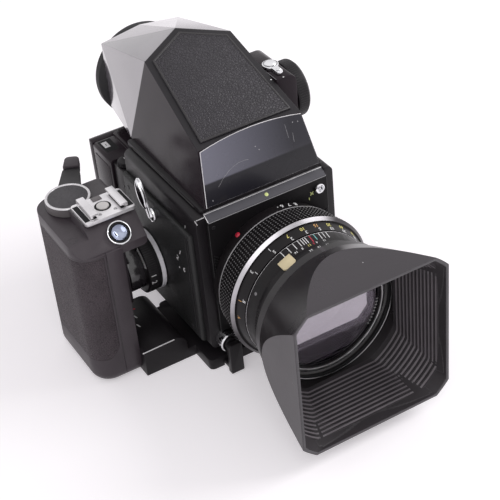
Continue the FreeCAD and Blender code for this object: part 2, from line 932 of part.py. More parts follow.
def gear_case():
    case = box(grip_right, case_right, winder_y - drum_radius, winder_y + drum_radius, case_low, grip_top)
    case = rounded(case, cap_corner, AX)
    return case.cut(rod(drum_shaft_radius + shaft_gap, (grip_right + past, winder_y, winder_z),
                        (case_right + past, winder_y, winder_z)))


def lever_arm(start, end, start_width, end_width, low, high):
    """A tapered bar from one reach to another along the lever, lying flat."""
    along = math.radians(lever_angle)
    forward = Vector(math.cos(along), math.sin(along), 0)
    aside = Vector(-math.sin(along), math.cos(along), 0)
    hub = Vector(lever_x, lever_y, low)
    points = [hub + forward * start - aside * (start_width / 2),
              hub + forward * end - aside * (end_width / 2),
              hub + forward * end + aside * (end_width / 2),
              hub + forward * start + aside * (start_width / 2)]
    bar = Part.Face(Part.makePolygon(points + points[:1])).extrude(Vector(0, 0, high - low))
    return rounded(bar, end_width * lever_end_share, AZ, lambda p: (p - hub).dot(forward) > end - near)


def wind_lever():
    top = lever_low + lever_thick
    hub = rod(lever_radius, (lever_x, lever_y, lever_low), (lever_x, lever_y, top))
    shaft = rod(lever_shaft_radius, (lever_x, lever_y, grip_top + lever_shaft_lift),
                (lever_x, lever_y, lever_low + past))
    width = lever_root + (lever_end - lever_root) * (lever_reach - lever_tip_length) / lever_reach
    arm = lever_arm(lever_radius - lever_arm_bite, lever_reach - lever_tip_length, lever_root, width,
                    lever_low,
                    top - lever_arm_step)
    arm = arm.cut(rod(lever_radius - rest_gap, (lever_x, lever_y, lever_low),
                      (lever_x, lever_y, top + past)))
    return hub.fuse(shaft).fuse(arm)


def lever_tip():
    width = lever_root + (lever_end - lever_root) * (lever_reach - lever_tip_length) / lever_reach
    top = lever_low + lever_thick - lever_arm_step + lever_tip_extra
    return lever_arm(lever_reach - lever_tip_length, lever_reach, width, lever_end, lever_low - fit_gap,
                     top)


# Accessory shoe and release
def accessory_shoe():
    plate = box(shoe_x - shoe_half, shoe_x + shoe_half, shoe_front, shoe_rear, cap_high_top, shoe_floor)
    shoe = rounded(plate, shoe_corner, AZ)
    lip_low = shoe_floor + shoe_slot_height
    lip_top = lip_low + shoe_lip_thick
    for side in (-1, 1):
        wall = sorted((shoe_x + side * shoe_slot_half, shoe_x + side * shoe_rail_half))
        lip = sorted((shoe_x + side * shoe_lip_half, shoe_x + side * shoe_rail_half))
        shoe = shoe.fuse(box(wall[0], wall[1], shoe_front + shoe_rail_front, shoe_rear - shoe_rail_rear,
                             shoe_floor, lip_top))
        shoe = shoe.fuse(box(lip[0], lip[1], shoe_front + shoe_rail_front, shoe_rear - shoe_rail_rear,
                             lip_low, lip_top))
    middle = (shoe_front + shoe_rear) / 2
    well = rod(contact_radius + skin_gap, (shoe_x, middle, cap_high_top + contact_well),
               (shoe_x, middle, shoe_floor + past))
    return shoe.removeSplitter().cut(well)


def shoe_contact():
    middle = (shoe_front + shoe_rear) / 2
    return rod(contact_radius, (shoe_x, middle, cap_high_top + contact_well),
               (shoe_x, middle, shoe_floor + contact_height))


def release_ring():
    centre = Vector(release_x, release_y, release_z)
    ring = Part.makeCylinder(release_ring_radius, release_ring_height, centre, release_axis)
    return ring.cut(Part.makeCylinder(release_button_radius + shaft_gap, release_ring_height + 2 * past,
                                      centre - release_axis * past, release_axis))


def release_button():
    centre = Vector(release_x, release_y, release_z)
    start = centre - release_axis * (release_depth - release_travel - move_gap)
    length = release_rise + release_depth - release_travel - move_gap
    button = Part.makeCylinder(release_button_radius, length, start, release_axis)
    top = [e for e in button.Edges if (e.CenterOfMass - centre).dot(release_axis) > release_rise - near]
    return button.makeFillet(release_round, top)


def release_link():
    right = link_left + link_width
    upright = box(link_left, right, link_front, link_front + link_thick, link_bottom, link_top)
    foot = box(link_left + link_foot_inset, right - link_foot_inset, link_front + past, link_foot_rear,
               link_bottom, link_bottom + link_foot_height)
    return rounded(upright, link_round, AY, lambda p: p.z > link_top - near).fuse(foot)


# Finder
def finder_corners(inset, floor):
    """Corners of the prism part of the finder, drawn in by a wall."""
    top = flange_top - inset * finder_roof_wall_share
    brow_y = finder_brow_y + inset
    slope = (finder_roof_rise - finder_brow_rise) / (finder_roof_y - brow_y)
    apex_y = finder_apex_y - inset
    c = {"apex": (0, apex_y, top + finder_brow_rise + slope * (apex_y - brow_y))}
    for name, side in (("l", -1), ("r", 1)):
        c["b0" + name] = (side * (finder_base_half - inset),
                          finder_base_front + inset * finder_front_wall_share,
                          floor)
        c["b1" + name] = (side * (finder_base_half - finder_base_step - inset), finder_base_rear - inset,
                          floor)
        c["f" + name] = (side * (finder_brow_half - inset), brow_y, top + finder_brow_rise)
        c["r" + name] = (side * (finder_roof_half - inset), finder_roof_y, top + finder_roof_rise)
    return c


def prism_form(inset, floor):
    c = finder_corners(inset, floor)
    faces = [[c["b0l"], c["b0r"], c["b1r"], c["b1l"]], [c["b0l"], c["fl"], c["fr"], c["b0r"]],
             [c["fl"], c["rl"], c["apex"], c["rr"], c["fr"]], [c["apex"], c["b1l"], c["b1r"]]]
    for name in ("l", "r"):
        faces.append([c["b0" + name], c["f" + name], c["r" + name]])
        faces.append([c["b0" + name], c["r" + name], c["b1" + name]])
        faces.append([c["r" + name], c["apex"], c["b1" + name]])
    return polyhedron(faces)


def finder_form():
    c = finder_corners(0, flange_top)
    ridge = (0, finder_tail_y, finder_tail_ridge)
    tail = {}
    for name, side in (("l", -1), ("r", 1)):
        tail["t" + name] = (side * finder_tail_half, finder_tail_y, finder_tail_top)
        tail["u" + name] = (side * finder_tail_half, finder_tail_y, finder_tail_low)
    faces = [[c["b0l"], c["b0r"], c["b1r"], c["b1l"]], [c["b0l"], c["fl"], c["fr"], c["b0r"]],
             [c["fl"], c["rl"], c["apex"], c["rr"], c["fr"]],
             [ridge, tail["tr"], tail["ur"], tail["ul"], tail["tl"]],
             [c["b1l"], c["b1r"], tail["ur"], tail["ul"]]]
    for name in ("l", "r"):
        base, brow, roof, foot = c["b0" + name], c["f" + name], c["r" + name], c["b1" + name]
        top, low = tail["t" + name], tail["u" + name]
        faces += [[base, brow, roof], [base, roof, foot], [roof, c["apex"], top], [c["apex"], ridge, top],
                  [roof, top, foot], [foot, top, low]]
    return polyhedron(faces)


def finder_flange():
    flange = rounded(box(-flange_half, flange_half, flange_front, flange_rear, casing_top, flange_top),
                     finder_flange_corner, AZ)
    return flange.cut(box(-screen_window_half, screen_window_half, screen_window_front,
                          screen_window_rear, casing_top - past, flange_top + past))


def finder_housing():
    housing = finder_form().cut(prism_form(finder_wall, flange_top - past))
    tunnel = box(-tunnel_half, tunnel_half, finder_apex_y - tunnel_front,
                 finder_tail_y - tunnel_rear_wall,
                 eye_z - tunnel_half, eye_z + tunnel_half)
    rear = finder_tail_y + eye_ring_length
    housing = housing.cut(tunnel).fuse(rod(eye_ring_radius, (0, finder_tail_y - 2 * past, eye_z),
                                           (0, rear, eye_z)))
    return housing.cut(rod(eye_bore, (0, finder_tail_y - eye_bore_depth, eye_z),
                           (0, rear + past, eye_z)))


def prism_glass():
    glass = prism_form(finder_wall + prism_gap, flange_top)
    return glass.common(box(-finder_base_half, finder_base_half, finder_base_front,
                            finder_apex_y - prism_setback, 0,
                            flange_top + finder_roof_rise))


def finder_leather():
    c = finder_corners(0, flange_top)
    return slab([c["fl"], c["fr"], c["rr"], c["apex"], c["rl"]], leather_thick, leather_inset)


def finder_front_plate():
    """The plate on the front of the finder, with a low arch that stands over the brow."""
    c = finder_corners(0, flange_top)
    plate = slab([c["b0l"], c["b0r"], c["fr"], c["fl"]], front_plate_thick, front_plate_inset)
    base = Vector(*c["b0l"])
    brow = Vector(*c["fl"])
    up = Vector(0, brow.y - base.y, brow.z - base.z).normalize()
    out = Vector(0, -up.z, up.y)
    half = finder_brow_half - front_plate_inset
    left = Vector(-half, brow.y, brow.z) - up * front_plate_inset
    right = Vector(half, brow.y, brow.z) - up * front_plate_inset
    middle = Vector(0, brow.y, brow.z) + up * front_plate_arch
    arch = Part.Face(Part.Wire([Part.Arc(left, middle, right).toShape(), Part.makeLine(right, left)]))
    return plate.fuse(arch.extrude(out * front_plate_thick)).removeSplitter()


def eyepiece_glass():
    front = finder_tail_y - past
    return rod(eye_bore - skin_gap, (0, front, eye_z), (0, front + eye_glass_thick, eye_z))


def eyecup():
    """A soft cup round the eyepiece, trimmed to the slopes of the roof and clear of the opening door."""
    y = finder_tail_y
    cup = turned([(0, y), (eyecup_radius * eyecup_root_share, y),
                  (eyecup_radius, y + eyecup_length * eyecup_swell_share),
                  (eyecup_radius, y + eyecup_length * eyecup_rim_share),
                  (eyecup_radius - eyecup_rim_width, y + eyecup_length),
                  (eyecup_radius * eyecup_rim_share, y + eyecup_length * eyecup_dish_share),
                  (0, y + eyecup_length * eyecup_floor_share)],
                 (0, 0, eye_z - eyecup_drop), (0, 1, 0))
    rise = eyecup_roof_gap
    side_z = finder_tail_top - (finder_tail_ridge - finder_tail_top)
    start = y - past
    roof = [Vector(-2 * finder_tail_half, start, side_z + rise),
            Vector(0, start, finder_tail_ridge + rise),
            Vector(2 * finder_tail_half, start, side_z + rise),
            Vector(0, start, finder_tail_ridge + 2 * eyecup_radius)]
    cup = cup.cut(Part.Face(Part.makePolygon(roof + roof[:1])).extrude(Vector(0, eyecup_length + 2 * past,
                                                                                0)))
    cup = cup.cut(box(-eyecup_radius, eyecup_radius, y - past, y + eyecup_length + past,
                      eye_z - 2 * eyecup_radius, eyecup_foot))
    return cup.cut(rod(eye_ring_radius + skin_gap, (0, y - past, eye_z),
                       (0, y + eyecup_length + past, eye_z)))


def meter_case():
    case = box(meter_case_left, meter_case_right, meter_case_front, meter_case_rear, meter_case_low,
               meter_case_high)
    case = rounded(case, meter_case_round, AY, lambda p: p.x > meter_case_left and p.z > meter_z)
    case = rounded(case, meter_case_low_round, AY, lambda p: p.x > meter_case_left and p.z < meter_z)
    case = case.cut(finder_form())
    brow_z = flange_top + finder_brow_rise
    case = case.cut(box(meter_case_left - past, meter_notch, finder_brow_y, finder_roof_y, brow_z,
                        meter_case_high + past))
    case = max(case.Solids, key=lambda s: s.Volume)
    return case.cut(rod(meter_shaft_radius + shaft_gap,
                        (meter_case_right - meter_shaft_length - rest_gap, meter_y, meter_z),
                        (meter_case_right + past, meter_y, meter_z)))


def meter_dial():
    face = meter_case_right + move_gap
    dial = turned([(0, face), (meter_dial_radius, face),
                   (meter_dial_radius, face + meter_dial_thick - meter_dial_bevel),
                   (meter_dial_radius - meter_dial_bevel, face + meter_dial_thick),
                   (0, face + meter_dial_thick)],
                  (0, meter_y, meter_z), (1, 0, 0))
    return dial.fuse(rod(meter_shaft_radius, (meter_case_right - meter_shaft_length, meter_y, meter_z),
                         (face + past, meter_y, meter_z)))


def meter_switch():
    low = meter_case_high + move_gap
    disc = rod(switch_radius, (switch_x, switch_y, low), (switch_x, switch_y, low + switch_thick))
    arm = box(switch_x - switch_arm_width / 2, switch_x + switch_arm_width / 2, switch_y - switch_arm,
              switch_y, low, low + switch_thick)
    arm = rounded(arm, switch_arm_width / 2 - switch_end_flat, AZ, lambda p: p.y < switch_y - near)
    return disc.fuse(arm)


# Lens
def lens_flange():
    return lens_turned([(bayonet_radius - bayonet_wall, lens_seat + bayonet_depth),
                        (bayonet_radius, lens_seat + bayonet_depth),
                        (bayonet_radius, lens_seat), (flange_radius, lens_seat),
                        (flange_radius, lens_flange_front),
                        (helicoid_radius, lens_flange_front), (helicoid_radius, helicoid_front),
                        (helicoid_bore, helicoid_front), (helicoid_bore, lens_seat - bayonet_seat),
                        (bayonet_radius - bayonet_wall, lens_seat)])


def focus_ring():
    grip_end = focus_rear - focus_grip_length
    bore = helicoid_radius + shaft_gap
    return lens_turned([(bore, focus_rear), (focus_rear_radius, focus_rear),
                        (focus_front_radius, grip_end + focus_bevel),
                        (focus_front_radius - focus_bevel_drop, grip_end), (focus_scale_radius, grip_end),
                        (focus_scale_end_radius, focus_front), (bore, focus_front)])


def lens_barrel():
    rear_bore = rear_glass_radius + skin_gap
    return lens_turned([(rear_bore, barrel_rear), (barrel_radius, barrel_rear),
                        (barrel_radius, depth_rear),
                        (depth_ring_radius, depth_rear), (depth_ring_end_radius, depth_front),
                        (nose_radius, depth_front),
                        (nose_radius, rim_rear), (front_rim_radius, rim_rear),
                        (front_rim_radius, rim_front),
                        (barrel_bore, rim_front), (barrel_bore, barrel_rear - barrel_rear_wall),
                        (rear_bore, barrel_rear - barrel_rear_wall)]).fuse(lens_cell())


def aperture_ring():
    return lens_ring(aperture_radius, nose_radius + shaft_gap, aperture_front, aperture_rear)


def lens_cell():
    front = rim_front + cell_setback
    rear = front + cell_length
    wall = barrel_bore + cell_bite
    lip = cell_rear_radius - cell_lip
    return lens_turned([(wall, front), (wall, rear + cell_lip), (lip, rear + cell_lip), (lip, rear),
                        (cell_rear_radius, rear), (barrel_bore - cell_wall, front)])


def bowl_points(radius, bulge, y, way, steps):
    """Points of a shallow bowl from its rim to its middle."""
    points = []
    for i in range(steps + 1):
        r = radius * (1 - i / steps)
        points.append((r, y + way * bulge * (1 - (r / radius) ** 2)))
    return points


def front_glass():
    y = rim_front + cell_setback + cell_length
    return lens_turned(bowl_points(cell_rear_radius - move_gap, front_glass_bulge, y, -1,
                                    front_glass_steps) + [(0, y)])


def rear_glass():
    y = barrel_rear - barrel_rear_wall
    rear = bowl_points(rear_glass_radius, rear_glass_thick, barrel_rear, 1, rear_glass_steps)
    return lens_turned([(rear_glass_radius, y)] + rear + [(0, y)])


def lens_glasses():
    return Part.makeCompound([front_glass(), rear_glass()])


def iris():
    plate = lens_ring(barrel_bore - skin_gap, 0, iris_y - iris_thick, iris_y)
    corners = []
    for i in range(iris_blades):
        a = math.radians(90 + 360 * i / iris_blades)
        corners.append(Vector(iris_hole * math.cos(a), iris_y - iris_thick - past,
                              lens_z + iris_hole * math.sin(a)))
    hole = Part.Face(Part.makePolygon(corners + corners[:1])).extrude(Vector(0, iris_thick + 2 * past,
                                                                                0))
    return plate.cut(hole)


def filter_ring():
    return lens_turned([(filter_bore, filter_front), (filter_radius, filter_front),
                        (filter_radius, rim_front),
                        (filter_bore - filter_lip, rim_front),
                        (filter_bore - filter_lip, rim_front - filter_lip_thick),
                        (filter_bore, rim_front - filter_lip_thick)])


def filter_glass():
    rear = rim_front - filter_lip_thick
    return lens_ring(filter_bore - skin_gap, 0, rear - filter_glass_thick, rear)


def lens_tab():
    """A small lever that stands over the depth scale and reaches over the aperture ring."""
    low = max(depth_ring_radius, aperture_radius) + tab_lift
    rear = depth_rear - tab_setback
    bar = box(-tab_width / 2, tab_width / 2, rear - tab_length, rear, lens_z + low,
              lens_z + low + tab_thick)
    bar = bar.makeChamfer(tab_chamfer, straight_edges(bar, AZ, lambda p: p.y < depth_rear - tab_length))
    post = box(-tab_width / 4, tab_width / 4, rear - tab_post_length, rear,
               lens_z + aperture_radius + tab_post_gap, lens_z + low + tab_post_gap)
    tab = bar.fuse(post)
    tab.rotate(Vector(0, 0, lens_z), AY, tab_angle)
    return tab


# Hood
def hood_box(inset, front, rear):
    return box(-hood_half_width + inset, hood_half_width - inset, front, rear,
               lens_z - hood_half_height + inset, lens_z + hood_half_height - inset)


def hood():
    outer = lens_turned([(0, hood_front), (hood_mouth_radius, hood_front),
                         (hood_root_radius, collar_front),
                         (collar_radius, collar_front), (collar_radius, collar_rear), (0, collar_rear)])
    outer = outer.common(hood_box(0, hood_front - past, collar_rear + past))
    bore = filter_radius + move_gap
    inner = lens_turned([(0, hood_front - past),
                         (hood_mouth_radius - hood_wall + hood_mouth_extra, hood_front - past),
                         (hood_root_radius - hood_wall - hood_root_extra, collar_front),
                         (bore, collar_front + hood_lip),
                         (bore, collar_rear + past), (0, collar_rear + past)])
    return outer.cut(inner.common(hood_box(hood_wall, hood_front - 2 * past, collar_rear + 2 * past)))


# Roll film back
def back_frame():
    half = back_half - frame_inset
    frame = box(-half, half, frame_front, frame_rear, back_bottom + frame_inset, back_top - frame_inset)
    frame = frame.cut(box(-gate_half, gate_half, frame_front - past, frame_rear + past,
                          lens_z - gate_half, lens_z + gate_half))
    slot_front = frame_front + slide_offset
    frame = frame.cut(box(slide_reach - move_gap, half + past, slot_front, slot_front + slide_slot,
                          slide_low - move_gap, slide_high - move_gap))
    return frame.cut(rod(film_dial_pin_radius + shaft_gap,
                         (film_dial_x, film_dial_y, back_top - frame_inset - film_dial_pin - move_gap),
                         (film_dial_x, film_dial_y, back_top + past)))


def dark_slide():
    half = back_half - frame_inset
    front = frame_front + slide_offset + (slide_slot - slide_plate) / 2
    high = slide_high - 2 * move_gap - slide_play
    plate = box(slide_reach, half + slide_handle_bite, front, front + slide_plate, slide_low, high)
    middle = front + slide_plate / 2
    handle = box(half + slide_handle_gap, half + slide_handle_width, middle - slide_handle_thick / 2,
                 middle + slide_handle_thick / 2, slide_low, high)
    return plate.fuse(rounded(handle, slide_handle_round, AZ))


def back_outline(front, rear, inset):
    return box(-back_half + inset, back_half - inset, front, rear, back_bottom + inset, back_top - inset)


def back_shell():
    shell = rounded(back_outline(frame_rear, shell_rear, 0), back_round, AY)
    return shell.cut(back_outline(frame_rear - past, shell_rear + past, back_wall)).fuse(back_cover())


def back_door():
    front = shell_rear + move_gap
    door = back_outline(front, back_rear, 0)
    edges = straight_edges(door, AZ, lambda p: p.y > back_rear - near) + straight_edges(
        door, AX, lambda p: p.y > back_rear - near)
    door = door.makeFillet(door_round, edges)
    door = door.cut(back_outline(front - past, back_rear - back_wall * 2, back_wall + door_rim))
    for side in (-1, 1):
        ends = sorted((side * door_knuckle_near, side * door_knuckle_far))
        door = door.fuse(rod(door_knuckle_radius, (ends[0], door_pin_y, door_pin_z),
                             (ends[1], door_pin_y, door_pin_z)))
    return door


def back_cover():
    cover = box(-back_cover_half, back_cover_half, frame_rear + back_cover_setback, shell_rear,
                back_top, back_top + back_cover_height)
    return rounded(cover, back_cover_round, AY, lambda p: p.z > back_top + near)


def film_dial():
    low = back_top - frame_inset + move_gap
    dial = turned([(0, low), (film_dial_radius, low),
                   (film_dial_radius - film_dial_taper, low + film_dial_height),
                   (0, low + film_dial_height)], (film_dial_x, film_dial_y, 0), (0, 0, 1))
    return dial.fuse(rod(film_dial_pin_radius, (film_dial_x, film_dial_y, low - film_dial_pin - move_gap),
                         (film_dial_x, film_dial_y, low + past)))


def film_insert():
    """Two cheeks with the spool pins' holes, a front wall round the film gate and the pressure plate."""
    low = back_bottom + back_wall
    high = back_top - back_wall - move_gap
    front = frame_rear
    body = box(-insert_half, insert_half, front, shell_rear - insert_setback, low, high)
    body = body.cut(box(-insert_half + insert_wall, insert_half - insert_wall, front + insert_wall,
                        shell_rear + past, low - past, high + past))
    body = body.cut(box(-gate_half, gate_half, front - past, front + insert_wall + past,
                        lens_z - gate_half, lens_z + gate_half))
    for z in (spool_low_z, spool_high_z):
        body = body.cut(rod(spool_pin_radius + shaft_gap, (-insert_half - past, spool_y, z),
                            (insert_half + past, spool_y, z)))
    return body.fuse(pressure_plate())


def spool(z):
    core = rod(spool_radius, (-spool_half, spool_y, z), (spool_half, spool_y, z))
    for side in (-1, 1):
        start = sorted((side * spool_half, side * (spool_half - spool_flange)))
        core = core.fuse(rod(spool_flange_radius, (start[0], spool_y, z), (start[1], spool_y, z)))
    pin_end = insert_half - fit_gap
    return core.fuse(rod(spool_pin_radius, (-pin_end, spool_y, z), (pin_end, spool_y, z)))


def supply_spool():
    return spool(spool_low_z)


def take_up_spool():
    return spool(spool_high_z)


def pressure_plate():
    front = frame_rear + insert_wall
    inner = insert_half - insert_wall
    return box(-inner, inner, front, front + pressure_thick, lens_z - pressure_half,
               lens_z + pressure_half)


pieces = [
    base_plate, tripod_bush, clamp_screw,
    casing, side_cover_right, side_cover_left, front_panel, lens_mount_ring, mirror_box, mirror_holder,
    reflex_mirror, focusing_screen, shutter_collar, shutter_button, lens_release, sync_socket,
    wind_disc, coupling_drum, strap_studs, speed_dial,
    grip_shell, grip_strip, grip_skin, grip_cap, gear_case, wind_lever, lever_tip,
    accessory_shoe, shoe_contact, release_ring, release_button, release_link,
    finder_flange, finder_housing, prism_glass, finder_leather, finder_front_plate, eyepiece_glass,
    eyecup, meter_case, meter_dial, meter_switch,
    lens_flange, focus_ring, lens_barrel, aperture_ring, lens_tab, lens_glasses, iris, filter_ring,
    filter_glass, hood, back_frame, dark_slide, back_shell, back_door, film_dial, film_insert,
    supply_spool, take_up_spool,
]

os.makedirs("parts", exist_ok=True)
for piece in pieces:
    shape = piece()
    shape.exportStep("parts/" + piece.__name__ + ".step")
    print(piece.__name__, len(shape.Solids), round(shape.Volume, 1), shape.isValid())
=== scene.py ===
import json
import math

import bmesh
import bpy
from mathutils import Matrix, Vector

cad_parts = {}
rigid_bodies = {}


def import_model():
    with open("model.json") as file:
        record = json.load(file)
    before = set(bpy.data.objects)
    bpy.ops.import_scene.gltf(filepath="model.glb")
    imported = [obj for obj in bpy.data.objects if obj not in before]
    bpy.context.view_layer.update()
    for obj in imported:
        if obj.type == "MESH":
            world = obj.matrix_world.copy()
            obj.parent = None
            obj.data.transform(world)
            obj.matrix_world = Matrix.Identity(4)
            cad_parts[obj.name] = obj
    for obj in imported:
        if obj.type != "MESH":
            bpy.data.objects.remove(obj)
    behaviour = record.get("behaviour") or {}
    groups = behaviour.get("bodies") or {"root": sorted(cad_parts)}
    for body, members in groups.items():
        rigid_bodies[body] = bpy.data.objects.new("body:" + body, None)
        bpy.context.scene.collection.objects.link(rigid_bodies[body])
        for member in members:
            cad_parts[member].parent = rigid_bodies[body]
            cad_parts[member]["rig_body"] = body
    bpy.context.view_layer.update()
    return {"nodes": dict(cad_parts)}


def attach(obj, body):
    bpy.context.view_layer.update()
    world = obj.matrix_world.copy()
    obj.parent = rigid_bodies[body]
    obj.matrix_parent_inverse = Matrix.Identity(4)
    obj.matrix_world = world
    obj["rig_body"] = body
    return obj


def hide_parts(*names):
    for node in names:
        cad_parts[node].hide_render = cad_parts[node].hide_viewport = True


# Medium format film camera with a grip, a metered finder, a hooded lens and a roll film back.
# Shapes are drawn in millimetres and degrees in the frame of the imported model, and brought to metres last.
MM = 0.001
LENS_Z = 53.9
UP = (0, 0, 1)
AHEAD = (0, -1, 0)
REARWARD = (0, 1, 0)
RIGHT = (1, 0, 0)

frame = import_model()


# Shader effects
class Board:
    """Lays out nodes on one shader tree."""

    def __init__(self, tree):
        self.tree = tree

    def feed(self, node, feeds):
        """Links a node's inputs to sockets, or sets them to plain values."""
        for key, value in feeds.items():
            if isinstance(value, bpy.types.NodeSocket):
                self.tree.links.new(value, node.inputs[key])
            else:
                node.inputs[key].default_value = value
        return node

    def add(self, kind, feeds=None, **settings):
        made = self.tree.nodes.new("ShaderNode" + kind)
        for key, value in settings.items():
            setattr(made, key, value)
        return self.feed(made, feeds or {})

    def group(self, shared, feeds):
        """Places a shared effect; its sockets are there only once its tree is set."""
        return self.feed(self.add("Group", node_tree=shared), feeds).outputs

    def place(self):
        return self.add("TexCoord").outputs["Object"]

    def axes(self):
        return self.add("SeparateXYZ", {0: self.place()}).outputs

    def noise(self, place, scale, detail):
        return self.add("TexNoise", {"Vector": place, "Scale": scale, "Detail": detail}).outputs

    def maths(self, operation, first, second=0.0, clamp=False):
        return self.add("Math", {0: first, 1: second}, operation=operation, use_clamp=clamp).outputs[0]

    def spread(self, value, low, high, to_low=0.0, to_high=1.0):
        feeds = {"Value": value, "From Min": low, "From Max": high, "To Min": to_low, "To Max": to_high}
        return self.add("MapRange", feeds).outputs[0]

    def mix(self, mask, first, second):
        return self.add("Mix", {0: mask, 6: first, 7: second}, data_type="RGBA").outputs[2]

    def bump(self, height, depth):
        return self.add("Bump", {"Height": height, "Distance": depth, "Strength": 1.0}).outputs[0]


def effect(name, inputs, outputs):
    """A node group with named sockets: its board, the sockets that come in and the node to fill."""
    group = bpy.data.node_groups.new(name, "ShaderNodeTree")
    for label, kind, value in inputs:
        socket = group.interface.new_socket(name=label, in_out="INPUT", socket_type="NodeSocket" + kind)
        socket.default_value = value
    for label, kind in outputs:
        group.interface.new_socket(name=label, in_out="OUTPUT", socket_type="NodeSocket" + kind)
    return Board(group), group.nodes.new("NodeGroupInput").outputs, group.nodes.new("NodeGroupOutput")


def uneven_tone_effect():
    """Two close colours that drift into each other, as on handled paint."""
    board, given, end = effect(
        "uneven_tone",
        [("First", "Color", (0.5, 0.5, 0.5, 1)), ("Second", "Color", (0.4, 0.4, 0.4, 1)),
         ("Scale", "Float", 60.0)],
        [("Colour", "Color"), ("Value", "Float")])
    value = board.spread(board.noise(board.place(), given["Scale"], 4.0)["Fac"], 0.32, 0.68)
    board.feed(end, {"Colour": board.mix(value, given["First"], given["Second"]), "Value": value})
    return board.tree


def edge_wear_and_sheen_effect():
    """A mask that is bright where two faces meet, broken up as real rubbing is: partly rubbed edges, partly a
    painted highlight along every edge.
    """
    board, given, end = effect(
        "edge_wear_and_sheen", [("Width", "Float", 0.0003), ("Breakup", "Float", 400.0)], [("Mask", "Float")])
    soft = board.add("Bevel", {"Radius": given["Width"]}, samples=6).outputs["Normal"]
    plain = board.add("NewGeometry").outputs["Normal"]
    turn = board.add("VectorMath", {0: soft, 1: plain}, operation="DOT_PRODUCT")
    edge = board.spread(turn.outputs["Value"], 0.995, 0.8)
    breakup = board.spread(board.noise(board.place(), given["Breakup"], 3.0)["Fac"], 0.3, 0.6, 0.45, 1.0)
    board.feed(end, {"Mask": board.maths("MULTIPLY", edge, breakup, clamp=True)})
    return board.tree


def fine_grain_effect():
    """The sandy height of moulded plastic or stoved paint."""
    board, given, end = effect("fine_grain", [("Scale", "Float", 1500.0)], [("Height", "Float")])
    place = board.place()
    cells = board.add("TexVoronoi", {"Vector": place, "Scale": board.maths("MULTIPLY", given["Scale"], 0.55)})
    raised = board.maths("ADD", cells.outputs["Distance"], 0.35)
    sand = board.noise(place, given["Scale"], 2.0)["Fac"]
    board.feed(end, {"Height": board.maths("MULTIPLY", sand, raised)})
    return board.tree


def leather_effect():
    """Leatherette: small rounded pebbles with creases between them."""
    board, given, end = effect(
        "leather_pebbles", [("Scale", "Float", 800.0)], [("Height", "Float"), ("Crease", "Float")])
    place = board.place()
    bend = board.noise(place, 350.0, 1.0)["Color"]
    small = board.add("VectorMath", {0: bend, 3: 0.0012}, operation="SCALE").outputs[0]
    moved = board.add("VectorMath", {0: place, 1: small}, operation="ADD").outputs[0]
    cells = board.add("TexVoronoi", {"Vector": moved, "Scale": given["Scale"]}, feature="DISTANCE_TO_EDGE")
    reach = cells.outputs["Distance"]
    board.feed(end, {"Height": board.maths("POWER", board.spread(reach, 0.0, 0.28), 0.6),
                     "Crease": board.spread(reach, 0.0, 0.1, 1.0, 0.0)})
    return board.tree


def specks_effect():
    """A few pale specks of dust, far apart."""
    board, given, end = effect(
        "dust_specks", [("Scale", "Float", 130.0), ("Size", "Float", 0.045)], [("Mask", "Float")])
    cells = board.add("TexVoronoi", {"Vector": board.place(), "Scale": given["Scale"]}).outputs
    near = board.maths("LESS_THAN", cells["Distance"], given["Size"])
    pick = board.add("SeparateColor", {0: cells["Color"]}).outputs[0]
    board.feed(end, {"Mask": board.maths("MULTIPLY", near, board.maths("GREATER_THAN", pick, 0.45))})
    return board.tree


def turning_marks_effect():
    """Fine rings round the lens axis, as a lathe leaves them."""
    board, given, end = effect("turning_marks", [("Scale", "Float", 900.0)], [("Height", "Float")])
    x, y, z = board.axes()[:3]
    squares = [board.maths("POWER", board.maths("ABSOLUTE", side), 2.0)
               for side in (x, board.maths("SUBTRACT", z, LENS_Z * MM))]
    radius = board.maths("SQRT", board.maths("ADD", *squares))
    flat = board.add("CombineXYZ", {0: radius, 1: y, 2: 0.0}).outputs[0]
    board.feed(end, {"Height": board.noise(flat, given["Scale"], 2.0)["Fac"]})
    return board.tree


UNEVEN_TONE = uneven_tone_effect()
# Edge mask: part wear, part painted highlight.
EDGE_WEAR_AND_SHEEN = edge_wear_and_sheen_effect()
FINE_GRAIN = fine_grain_effect()
LEATHER_PEBBLES = leather_effect()
DUST_SPECKS = specks_effect()
TURNING_MARKS = turning_marks_effect()


# Finishes
DUST_COLOUR = (0.6, 0.58, 0.6, 1)
# The front plate's painted reflection colour, and the heights and widths in metres where it and the lacquer
# fade out.
PLATE_PAINTED_REFLECTION_BLUE = (0.085, 0.082, 0.128, 1)
LACQUER_AND_REFLECTION_FOOT = (0.1145, 0.1153)
LACQUER_AND_REFLECTION_SPAN = (-0.028, 0.022)
FILTER_LEAN = 0.064


def rgba(colour, share=1.0):
    return (*(c * share for c in colour), 1.0)


def opened(finish):
    """The board and the shader of a finish."""
    return Board(finish.node_tree), finish.node_tree.nodes["Principled BSDF"]


def blank_finish(name):
    finish = bpy.data.materials.new(name)
    finish.use_nodes = True
    return finish, *opened(finish)


def tone_of(board, first, second, scale):
    return board.group(UNEVEN_TONE, {"First": first, "Second": second, "Scale": scale})


